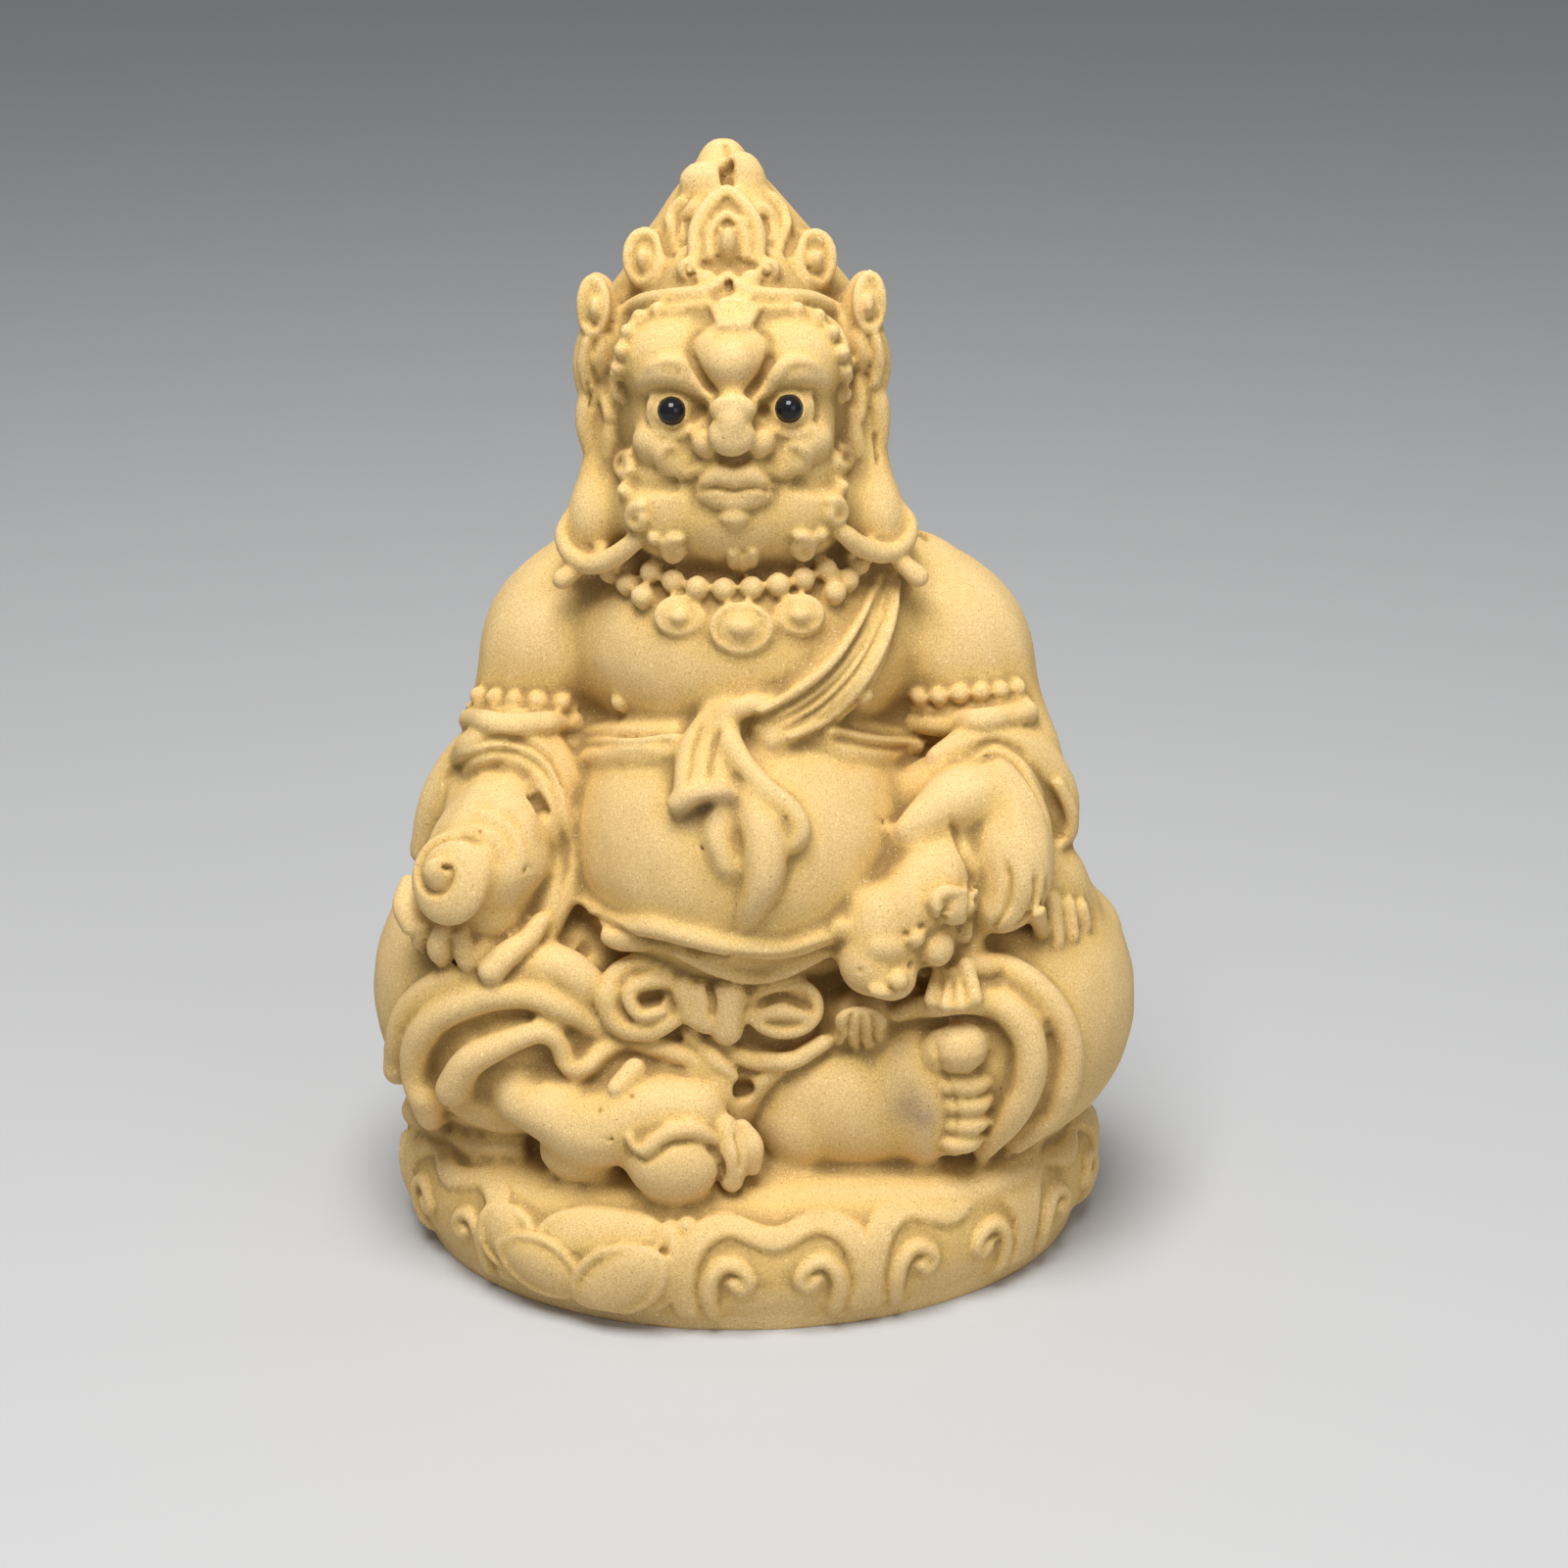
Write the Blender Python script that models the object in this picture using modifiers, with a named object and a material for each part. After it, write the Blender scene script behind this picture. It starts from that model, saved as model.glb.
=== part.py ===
# Seated wealth-deity statuette of moulded buff clay, with two glass bead eyes.
#
# The figure is built the way a modeller builds it: big forms are blocked in with balls and coils of clay,
# fused into one skin and smoothed, then drapery is laid on, then the small ornament. Sculpting happens in
# modules (one module is 1/80.5 of the figure above its seat) and the finished clay is scaled to metres.
# Front is -Y, up is +Z, and the middle of the underside is the origin.

import math

import bmesh
import bpy
import numpy as np
from mathutils import Euler, Matrix, Vector
from mathutils.bvhtree import BVHTree

# Driving sizes in metres
FIGURE_HEIGHT = 0.090
BASE_HEIGHT = 0.0095
BASE_WIDTH = 0.0588
BASE_DEPTH = 0.0478
FOOT_RIM_HEIGHT = 0.0012
FOOT_RIM_INSET = 0.0014
EYE_BEAD_DIAMETER = 0.0020
BEAD_CLEARANCE = 0.0003

# Sculpting space
SEAT_LEVEL = 9.5
SCULPT_HEIGHT = 90.0
MODULE = (FIGURE_HEIGHT - BASE_HEIGHT) / (SCULPT_HEIGHT - SEAT_LEVEL)
UNDERSIDE = SEAT_LEVEL - BASE_HEIGHT / MODULE
BASE_TURN = math.radians(4.0)

# Drawing board: a plane through the figure, at right angles to the modeller's sight line
SIGHT_PITCH = math.radians(21.0)
SIGHT_DISTANCE = 258.0
BOARD_MIDDLE = 38.0
SIGHT_SIDE = 2.8
BOARD_UP = Vector((0.0, math.sin(SIGHT_PITCH), math.cos(SIGHT_PITCH)))
SIGHT_BACK = Vector((0.0, -math.cos(SIGHT_PITCH), math.sin(SIGHT_PITCH)))
EYE_POINT = Vector((SIGHT_SIDE, 0.0, BOARD_MIDDLE)) + SIGHT_BACK * SIGHT_DISTANCE

# Eyes, on the drawing board
EYE_SPOTS = ((-6.4, 68.6), (3.2, 68.8))
EYEBALL_RADIUS = 1.65
BEAD_SUNK = 0.45

# Base ornament
CLOUD_COUNT = 11
CLOUD_START = 0.4
LEAF_PLACES = (10,)
# Each leaf: across, climb, half length, half height, tilt in degrees
LEAVES = ((1.2, 8.0, 5.2, 2.4, 6.0), (-7.0, 5.8, 3.0, 2.6, -40.0), (-3.6, 4.4, 3.9, 2.5, -12.0),
          (3.1, 4.6, 4.2, 2.7, 34.0))

# Skin fineness, in modules
BLOCK_VOXEL = 0.7
LIMB_VOXEL = 0.5
CLOTH_VOXEL = 0.42
DETAIL_VOXEL = 0.34
FIGURE_TRIANGLES = 8400


def clear_scene():
    for item in list(bpy.data.objects):
        bpy.data.objects.remove(item, do_unlink=True)


def at(spot, y):
    """The point at depth y on the sight line through a spot on the drawing board."""
    board = Vector((spot[0], 0.0, BOARD_MIDDLE)) + BOARD_UP * (spot[1] - BOARD_MIDDLE)
    line = board - EYE_POINT
    return EYE_POINT + line * ((y - EYE_POINT.y) / line.y)


def moved(spot, across, up):
    return (spot[0] + across, spot[1] + up)


def smooth_run(rows, step=0.35):
    """Rows of numbers joined by a Catmull-Rom curve and read again at an even step."""
    rows = np.array(rows, dtype=float)
    if len(rows) < 3:
        rows = np.array([rows[0], (rows[0] + rows[-1]) / 2.0, rows[-1]])
    before = 2.0 * rows[0] - rows[1]
    after = 2.0 * rows[-1] - rows[-2]
    rows = np.vstack([before, rows, after])
    run = []
    for index in range(1, len(rows) - 2):
        p0, p1, p2, p3 = rows[index - 1:index + 3]
        length = np.linalg.norm((p2 - p1)[:3])
        count = max(2, int(math.ceil(length / step)))
        for part in range(count):
            t = part / count
            curve = (2.0 * p1 + (p2 - p0) * t + (2.0 * p0 - 5.0 * p1 + 4.0 * p2 - p3) * t ** 2
                     + (3.0 * p1 - p0 - 3.0 * p2 + p3) * t ** 3)
            run.append(0.5 * curve)
    run.append(rows[-2])
    return np.array(run)


def fill_radii(radii, count):
    """One radius for each control point, from a single value or a short list spread evenly."""
    if isinstance(radii, (int, float)):
        return [float(radii)] * count
    places = np.linspace(0.0, len(radii) - 1.0, count)
    return list(np.interp(places, range(len(radii)), radii))


class Clay:
    """A heap of overlapping balls and coils that are later fused into one skin."""

    def __init__(self):
        self.balls = bmesh.new()
        self.coils = bpy.data.curves.new("coils", "CURVE")
        self.coils.dimensions = "3D"
        self.coils.bevel_depth = 1.0
        self.coils.bevel_resolution = 3
        self.coils.use_fill_caps = True
        self.solids = []

    def ball(self, centre, radii, turn=(0.0, 0.0, 0.0), cuts=3):
        if isinstance(radii, (int, float)):
            radii = (radii, radii, radii)
        tilt = Euler([math.radians(angle) for angle in turn])
        place = Matrix.LocRotScale(Vector(centre), tilt, Vector(radii))
        bmesh.ops.create_icosphere(self.balls, subdivisions=cuts, radius=1.0, matrix=place)

    def coil(self, points, radii):
        radii = fill_radii(radii, len(points))
        rows = smooth_run([tuple(point) + (radius,) for point, radius in zip(points, radii)])
        spline = self.coils.splines.new("POLY")
        spline.points.add(len(rows) - 1)
        for point, row in zip(spline.points, rows):
            point.co = (row[0], row[1], row[2], 1.0)
            point.radius = max(row[3], 0.05)
        for end, row, inner in ((0, rows[0], rows[1]), (-1, rows[-1], rows[-2])):
            self.ball(row[:3], max(row[3], 0.05) * 0.99, cuts=2)

    def solid(self, mesh):
        self.solids.append(mesh)

    def fuse(self, name, voxel, smoothing, repeats):
        """Fuse everything into one watertight skin of even quads, then rub it smooth."""
        balls = bpy.data.meshes.new("balls")
        self.balls.to_mesh(balls)
        self.balls.free()
        heap = bmesh.new()
        heap.from_mesh(balls)
        coil_object = bpy.data.objects.new("coils", self.coils)
        bpy.context.scene.collection.objects.link(coil_object)
        coil_mesh = evaluated_mesh(coil_object)
        heap.from_mesh(coil_mesh)
        for mesh in self.solids:
            heap.from_mesh(mesh)
        joined = bpy.data.meshes.new(name)
        heap.to_mesh(joined)
        heap.free()
        bpy.data.objects.remove(coil_object, do_unlink=True)
        skin = bpy.data.objects.new(name, joined)
        bpy.context.scene.collection.objects.link(skin)
        remesh = skin.modifiers.new("fuse", "REMESH")
        remesh.mode = "VOXEL"
        remesh.voxel_size = voxel
        rub = skin.modifiers.new("rub", "SMOOTH")
        rub.factor = smoothing
        rub.iterations = repeats
        fused = evaluated_mesh(skin)
        bpy.data.objects.remove(skin, do_unlink=True)
        return main_shell(fused)


def evaluated_mesh(item):
    graph = bpy.context.evaluated_depsgraph_get()
    graph.update()
    return bpy.data.meshes.new_from_object(item.evaluated_get(graph), depsgraph=graph)


def main_shell(mesh):
    """The mesh without closed pockets or loose crumbs: only its largest connected shell."""
    shape = bmesh.new()
    shape.from_mesh(mesh)
    shape.verts.ensure_lookup_table()
    shell_of = [-1] * len(shape.verts)
    sizes = []
    for start in shape.verts:
        if shell_of[start.index] >= 0:
            continue
        number = len(sizes)
        shell_of[start.index] = number
        queue = [start]
        size = 0
        while queue:
            vertex = queue.pop()
            size += 1
            for edge in vertex.link_edges:
                other = edge.other_vert(vertex)
                if shell_of[other.index] < 0:
                    shell_of[other.index] = number
                    queue.append(other)
        sizes.append(size)
    if len(sizes) > 1:
        largest = sizes.index(max(sizes))
        crumbs = [vertex for vertex in shape.verts if shell_of[vertex.index] != largest]
        bmesh.ops.delete(shape, geom=crumbs, context="VERTS")
        shape.to_mesh(mesh)
    shape.free()
    return mesh


class Skin:
    """A fused mesh that strokes and coils can be laid on along the sight line."""

    def __init__(self, mesh):
        self.mesh = mesh
        points = [vertex.co.copy() for vertex in mesh.vertices]
        faces = [tuple(face.vertices) for face in mesh.polygons]
        self.tree = BVHTree.FromPolygons(points, faces)

    def on(self, spot, lift=0.0):
        board = at(spot, 0.0)
        line = (board - EYE_POINT).normalized()
        place, normal, index, distance = self.tree.ray_cast(EYE_POINT, line)
        if place is None:
            place, normal, index, distance = self.tree.find_nearest(board)
        return place + normal * lift

    def lay(self, spots, lift=0.0, step=1.2):
        """Spots joined by a smooth line on the board, then laid on the skin."""
        return [self.on((row[0], row[1]), lift) for row in smooth_run(spots, step)]

    def behind(self, spots, lift=0.0, step=1.5):
        """Places across and up, joined by a smooth line and laid on the back from behind."""
        run = []
        for across, up in [tuple(row) for row in smooth_run(spots, step)]:
            start = Vector((across, 2.0 * SCULPT_HEIGHT, up))
            place, normal, index, distance = self.tree.ray_cast(start, Vector((0.0, -1.0, 0.0)))
            if place is not None:
                run.append(place + normal * lift)
        return run


# Block-in: the big forms of the body

def base_section():
    """The base's side, from the middle of the underside out and up to the seat: inward, up."""
    half_width = BASE_WIDTH / 2.0 / MODULE
    rim = FOOT_RIM_HEIGHT / MODULE
    inset = FOOT_RIM_INSET / MODULE
    height = SEAT_LEVEL - UNDERSIDE
    return [(half_width, -1.0), (inset + 0.4, -1.0), (inset, rim * 0.6), (inset + 0.2, rim),
            (inset + 0.5, rim * 1.2), (0.7, height * 0.24), (0.15, height * 0.42), (0.0, height * 0.6),
            (0.25, height * 0.78), (1.0, height * 0.91), (2.2, height * 0.985), (3.6, height),
            (half_width, height)]


def turned_base():
    """The seat base: a turned profile drawn out to an oval plan."""
    half_width = BASE_WIDTH / 2.0 / MODULE
    half_depth = BASE_DEPTH / 2.0 / MODULE
    profile = bpy.data.meshes.new("base_profile")
    outline = [(half_width - inward, 0.0, UNDERSIDE + up) for inward, up in base_section()]
    links = [(index, index + 1) for index in range(len(outline) - 1)]
    profile.from_pydata(outline, links, [])
    item = bpy.data.objects.new("base_profile", profile)
    bpy.context.scene.collection.objects.link(item)
    turn = item.modifiers.new("turn", "SCREW")
    turn.axis = "Z"
    turn.steps = 96
    turn.render_steps = 96
    turn.use_merge_vertices = True
    turn.merge_threshold = 0.0001
    turned = evaluated_mesh(item)
    bpy.data.objects.remove(item, do_unlink=True)
    oval = Matrix.Rotation(BASE_TURN, 4, "Z") @ Matrix.Diagonal((1.0, half_depth / half_width, 1.0, 1.0))
    turned.transform(oval)
    return turned


class Strokes:
    """Modelling-tool strokes: lines and dabs that press the skin in or raise it."""

    def __init__(self, skin):
        self.skin = skin
        self.marks = []

    def path(self, points, width, height, taper=True):
        rows = smooth_run([tuple(point) for point in points], width * 0.3)
        weights = np.ones(len(rows))
        if taper:
            places = np.linspace(0.0, 1.0, len(rows))
            weights = np.clip(np.minimum(places, 1.0 - places) * 6.0 + 0.25, 0.0, 1.0)
        self.marks.append((rows, weights, width, height))

    def line(self, spots, width, height, taper=True):
        self.path(self.skin.lay(spots, 0.0, 0.5), width, height, taper)

    def dab(self, spot, width, height):
        centre = self.skin.on(spot)
        self.marks.append((np.array([tuple(centre)]), np.ones(1), width, height))

    def press(self):
        mesh = self.skin.mesh
        count = len(mesh.vertices)
        places = np.empty(count * 3)
        normals = np.empty(count * 3)
        mesh.vertices.foreach_get("co", places)
        mesh.vertices.foreach_get("normal", normals)
        places = places.reshape(count, 3)
        normals = normals.reshape(count, 3)
        moves = np.zeros(count)
        for rows, weights, width, height in self.marks:
            low = rows.min(axis=0) - width
            high = rows.max(axis=0) + width
            near = np.nonzero(((places > low) & (places < high)).all(axis=1))[0]
            if len(near) == 0:
                continue
            gaps = np.linalg.norm(places[near][:, None, :] - rows[None, :, :], axis=2)
            best = gaps.argmin(axis=1)
            gap = gaps[np.arange(len(near)), best] / width
            falloff = np.where(gap < 1.0, (1.0 - gap ** 2) ** 2, 0.0)
            moves[near] += falloff * weights[best] * height
        places += normals * moves[:, None]
        mesh.vertices.foreach_set("co", places.ravel())
        mesh.update()


class BaseWall:
    """Places on the base's side, by the distance along it from the front and the climb up its section."""

    def __init__(self):
        self.half_width = BASE_WIDTH / 2.0 / MODULE
        self.half_depth = BASE_DEPTH / 2.0 / MODULE
        self.angles = np.linspace(-1.5 * math.pi, 0.5 * math.pi, 721)
        across = self.half_width * np.cos(self.angles)
        back = self.half_depth * np.sin(self.angles)
        run = np.concatenate([[0.0], np.cumsum(np.hypot(np.diff(across), np.diff(back)))])
        self.girth = run[-1]
        self.run = run - np.interp(-0.5 * math.pi, self.angles, run)
        side = np.array(base_section()[3:])
        self.side = side
        self.climb = np.concatenate([[0.0], np.cumsum(np.hypot(np.diff(side[:, 0]), np.diff(side[:, 1])))])

    def at(self, along, climb, lift=0.0):
        half = self.girth / 2.0
        along = (along + half) % self.girth - half
        angle = float(np.interp(along, self.run, self.angles))
        inward = float(np.interp(climb, self.climb, self.side[:, 0])) - lift
        up = float(np.interp(climb, self.climb, self.side[:, 1]))
        reach = self.half_width - inward
        place = Vector((reach * math.cos(angle),
                        reach * math.sin(angle) * self.half_depth / self.half_width,
                        UNDERSIDE + up))
        return Matrix.Rotation(BASE_TURN, 3, "Z") @ place

    def lay(self, spots, lift=0.0, mirror=1.0, start=0.0):
        rows = smooth_run(spots, 0.8)
        return [self.at(start + mirror * row[0], row[1], lift) for row in rows]


def block_in_body(clay):
    # Seat and crossed legs
    clay.ball((0.0, 1.5, 19.5), (27.5, 18.0, 12.5))
    clay.ball((0.0, 6.0, 25.0), (19.0, 12.5, 13.0))
    clay.ball((-18.2, -2.0, 21.5), (13.2, 15.0, 13.6), turn=(0, 14, 0))
    clay.ball((19.0, -2.5, 20.5), (13.1, 15.0, 13.0), turn=(0, -10, 0))
    clay.ball((0.0, -7.5, 16.0), (19.0, 8.5, 7.5))
    clay.ball((0.5, -11.0, 9.3), (24.0, 10.5, 2.6))
    # Belly, chest and back
    clay.ball((-0.6, -5.3, 36.0), (14.6, 14.6, 13.5))
    clay.ball((-0.3, 2.5, 38.0), (17.5, 12.8, 19.0))
    clay.ball((-0.3, -1.2, 51.5), (14.3, 11.8, 10.5))
    clay.ball((0.2, 1.2, 52.5), (16.5, 9.6, 8.6))
    # Shoulders and upper arms
    clay.coil([(-12.0, 0.5, 54.0), (-15.2, 0.0, 50.3), (-17.2, -1.0, 45.5), (-18.6, -3.0, 41.0)],
              [6.2, 6.6, 5.4, 5.2])
    clay.coil([(12.6, 0.5, 53.6), (16.2, 0.0, 49.8), (18.4, -1.5, 45.0), (20.5, -4.0, 41.0)],
              [6.2, 6.8, 5.6, 5.2])
    # Neck and head
    clay.ball((-0.6, 0.0, 58.5), (13.5, 8.5, 5.6))
    clay.ball((-1.3, -1.8, 71.5), (9.4, 9.8, 12.0))
    clay.ball((-1.3, 2.2, 72.0), (11.8, 8.4, 12.0))
    clay.ball((-1.2, 4.0, 62.0), (9.5, 6.0, 8.0))
    clay.coil([(-1.4, 1.6, 78.0), (-1.6, 2.0, 82.0), (-1.8, 2.4, 85.4), (-1.9, 2.8, 88.4)],
              [8.8, 7.0, 4.9, 2.2])


def block_in_face(clay):
    clay.ball(at((-6.0, 61.3), -7.6), (4.8, 4.0, 4.8))
    clay.ball(at((3.4, 61.3), -7.6), (4.8, 4.0, 4.8))
    clay.ball(at((-1.2, 60.5), -8.6), (5.5, 3.8, 4.2))
    clay.ball(at((-1.2, 66.9), -8.2), (7.8, 3.6, 6.5))
    clay.ball(at((-6.2, 73.2), -7.2), (4.6, 3.9, 3.6))
    clay.ball(at((3.3, 73.2), -7.2), (4.6, 3.9, 3.6))
    clay.coil([at((-11.5, 67.7), -2.5), at((-11.7, 63.7), -3.2), at((-12.2, 60.1), -4.8),
               at((-13.3, 57.3), -4.5)],
              [1.9, 2.3, 2.9, 2.0])
    clay.coil([at((9.2, 67.7), -2.5), at((9.4, 63.7), -3.2), at((10.0, 60.1), -4.8),
               at((11.5, 57.3), -4.5)],
              [1.9, 2.3, 2.9, 2.0])


def block_in_limbs(clay):
    # Left forearm and the shell it holds
    clay.coil([(-18.6, -3.0, 41.0), at((-20.1, 35.6), -7.5), at((-21.3, 31.6), -10.5)], [5.2, 5.0, 4.8])
    clay.coil([at((-19.1, 38.0), -7.5), at((-20.5, 34.4), -10.5), at((-21.5, 31.2), -12.0),
               at((-21.3, 28.2), -12.5)],
              [3.2, 4.6, 5.1, 3.4])
    clay.ball(at((-23.3, 27.1), -12.0), (4.4, 3.2, 2.8))
    # Right forearm and hand
    clay.coil([(20.5, -4.0, 41.0), at((19.5, 37.6), -8.0), at((20.6, 34.0), -10.8), at((21.3, 30.4), -12.8),
               at((20.6, 28.0), -14.0)], [5.0, 4.3, 4.2, 3.6, 2.4])
    clay.ball(at((17.7, 34.0), -11.0), (3.0, 2.5, 4.5))
    clay.ball(at((21.4, 30.5), -13.2), (3.2, 2.7, 4.7), turn=(0, 4, 0))
    clay.ball(at((19.5, 29.6), -12.8), (2.7, 2.4, 3.8))
    clay.ball(at((15.5, 37.0), -8.8), 3.4)
    clay.ball(at((12.6, 32.2), -12.6), 2.4)
    clay.coil([at((19.7, 37.0), -9.8), at((16.9, 36.6), -12.2), at((14.9, 35.5), -13.4),
               at((12.9, 34.2), -14.2)],
              [3.2, 2.7, 2.0, 1.25])
    # Hind part of the mongoose, over the thigh
    clay.coil([at((21.3, 31.6), -7.0), at((23.9, 29.6), -6.0), at((25.9, 28.0), -5.0)], [4.6, 4.2, 3.0])
    # Thigh tops beside the belly, and the cloth below it
    clay.ball(at((13.2, 21.9), -9.5), (7.0, 5.5, 4.5))
    clay.ball(at((-2.4, 21.0), -11.5), (10.0, 4.5, 4.6))
    clay.ball(at((-1.6, 16.3), -12.0), (6.0, 3.5, 4.0))
    clay.ball(at((-15.7, 22.7), -11.0), (5.0, 5.0, 3.5))
    clay.ball(at((25.9, 25.5), -2.0), (4.8, 6.0, 4.6))
    # Mongoose body and head
    clay.coil([at((15.8, 32.5), -13.0), at((15.0, 30.4), -15.0), at((13.2, 28.0), -16.4)], [2.7, 3.1, 3.1])
    clay.ball(at((16.9, 30.8), -12.2), (2.6, 2.6, 4.2))
    clay.ball(at((11.2, 25.9), -16.6), (3.7, 3.1, 4.5), turn=(0, 16, 0))
    clay.ball(at((10.0, 23.5), -17.4), (2.7, 2.7, 2.9))
    clay.ball(at((11.6, 22.1), -18.4), (2.1, 2.0, 1.9))
    clay.ball(at((14.5, 25.9), -15.6), (2.4, 2.4, 3.0))
    clay.coil([at((17.4, 25.3), -13.6), at((17.3, 22.7), -14.4), at((16.8, 21.1), -15.0)], [1.8, 2.0, 2.0])
    clay.ball(at((9.2, 18.9), -15.0), (2.3, 3.0, 2.2))
    clay.ball(at((13.2, 19.5), -12.8), (3.6, 2.6, 2.4))
    # Left leg opening: shin and foot lying across the front
    clay.coil([at((-23.7, 14.7), -11.5), at((-19.7, 13.1), -12.5), at((-13.3, 14.3), -13.5),
               at((-6.8, 13.9), -14.0)],
              [3.6, 3.8, 3.8, 3.6])
    clay.coil([at((-18.9, 12.0), -16.6), at((-16.0, 11.2), -17.2), at((-12.5, 10.0), -17.6),
               at((-7.8, 11.3), -18.0), at((-4.6, 11.3), -18.0)], [2.0, 2.9, 3.5, 3.0, 2.8])
    clay.ball(at((-18.8, 12.8), -16.4), 2.0)
    clay.ball(at((-13.9, 8.1), -16.4), (3.4, 2.8, 2.5))
    # Right sole, heel down in the middle
    clay.ball(at((8.7, 12.1), -14.6), (8.0, 3.8, 5.6), turn=(0, -4, 0))
    clay.ball(at((4.6, 10.7), -14.5), (4.2, 3.5, 4.4))
    clay.ball(at((12.4, 12.8), -14.9), (4.4, 3.5, 5.9))
    clay.ball(at((14.2, 12.3), -15.2), (3.3, 3.4, 5.7))
    clay.ball(at((12.9, 14.0), -14.9), (4.0, 3.4, 4.9))
    clay.coil([at((15.8, 15.5), -15.8), at((17.1, 11.9), -15.8), at((16.9, 8.7), -15.6)], [2.1, 1.9, 1.4])
    # Small shell under the left foot
    clay.ball(at((-6.2, 7.1), -19.7), (3.95, 2.9, 3.45))


# Second pass: drapery laid on the blocked-in body

def lay_features(clay, skin):
    """The soft forms of the face, which the ornament pass sharpens."""
    for brow in ([(-8.9, 70.8), (-7.3, 71.8), (-5.4, 71.4), (-4.0, 70.2)],
                 [(6.2, 71.0), (4.4, 71.8), (2.5, 71.5), (1.0, 70.2)]):
        clay.coil(skin.lay(brow, -0.45), [0.9, 1.25, 1.2, 0.9])
    for cheek in ((-7.5, 65.8), (4.6, 66.0)):
        clay.ball(skin.on(cheek, -1.3), (2.7, 2.1, 2.0))
    clay.coil([skin.on((-1.5, 69.8), -0.6), skin.on((-1.4, 68.1), 0.1), skin.on((-1.4, 66.7), 0.2)],
              [1.9, 1.6, 1.4])
    clay.ball(skin.on((-1.3, 63.2), -0.9), (2.8, 1.7, 2.1))
    # Heart-shaped boss between the brows
    clay.ball(skin.on((-1.6, 73.5), -0.4), (3.1, 1.75, 2.4), turn=(-15, 0, 0))
    clay.coil([skin.on((-1.6, 72.7), 0.1), skin.on((-1.5, 70.5), -0.3)], [2.1, 0.9])


def lay_plates(clay, skin):
    """Cushions that carry ornament: the crown's leaves, the pendants and the end of the shell."""
    clay.ball(skin.on((-1.9, 82.5), -0.3), (2.7, 1.3, 4.0), turn=(-28, 0, 0))
    for spot in ((-8.6, 81.2), (5.4, 81.2)):
        clay.ball(skin.on(spot, -0.2), (1.75, 1.3, 2.4), turn=(-20, 0, 0))
    for side, spot in ((-1.0, (-12.6, 77.3)), (1.0, (9.6, 77.5))):
        petal = at(spot, -2.0) - Vector((side * 0.3, 0.0, 0.3))
        clay.ball(petal, (1.7, 2.3, 2.9), turn=(0, side * 8, 0))
        clay.coil([petal + Vector((side * 0.3, -0.9, -2.0)), petal + Vector((side * 0.9, -0.6, -4.5)),
                   petal + Vector((side * 0.3, -0.6, -8.0))], [1.5, 1.4, 1.2])
    clay.ball(skin.on((-3.9, 87.7), -0.5), (2.1, 1.4, 1.7))
    clay.ball(skin.on((-0.1, 88.0), -0.6), (1.7, 1.3, 2.4), turn=(0, -20, 0))
    for spot, wide, high in (((-5.8, 51.8), 2.1, 1.6), ((-0.7, 50.8), 2.8, 2.2), ((4.1, 51.9), 2.1, 1.65)):
        clay.ball(skin.on(spot, -0.3), (wide, 0.95, high), turn=(-12, 0, 0))
    clay.ball(skin.on((-24.6, 30.2), 0.0), (3.4, 1.6, 3.75), turn=(-20, 0, -25))
    clay.ball(skin.on((-8.8, 20.5), 0.5), (3.4, 1.5, 2.8), turn=(-10, 0, -10))
    clay.ball(skin.on((2.8, 19.7), 0.5), (3.0, 1.4, 2.3), turn=(-10, 0, 6))


def press_hollows(skin):
    """Deep hollows pressed in before the small forms go on."""
    tool = Strokes(skin)
    for socket in ([(-7.5, 68.5), (-6.0, 68.7), (-4.6, 68.5)], [(4.6, 68.7), (2.8, 68.8), (1.6, 68.5)]):
        tool.line(socket, 1.6, -0.7, taper=False)
    for fold in ([(-5.1, 73.2), (-4.5, 71.8), (-3.6, 70.6), (-2.6, 69.7)],
                 [(1.9, 73.2), (1.4, 71.8), (0.6, 70.6), (-0.3, 69.7)]):
        tool.line(fold, 0.8, -0.45)
    tool.line([(-5.4, 84.9), (-5.8, 83.7), (-5.5, 82.2)], 1.2, -0.8)
    tool.line([(1.2, 84.9), (1.8, 83.7), (1.5, 82.2)], 1.2, -0.8)
    tool.dab((-0.7, 12.9), 1.2, -1.6)
    tool.line([(-14.2, 24.7), (-13.3, 23.9)], 1.2, -1.0)
    tool.press()


def lay_drapery(clay, skin):
    lay_features(clay, skin)
    lay_plates(clay, skin)
    lay_sleeves(clay, skin)
    lay_left_leg(clay, skin)
    lay_right_leg(clay, skin)
    lay_sash(clay, skin)
    lay_belt(clay, skin)
    lay_back(clay, skin)


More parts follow.
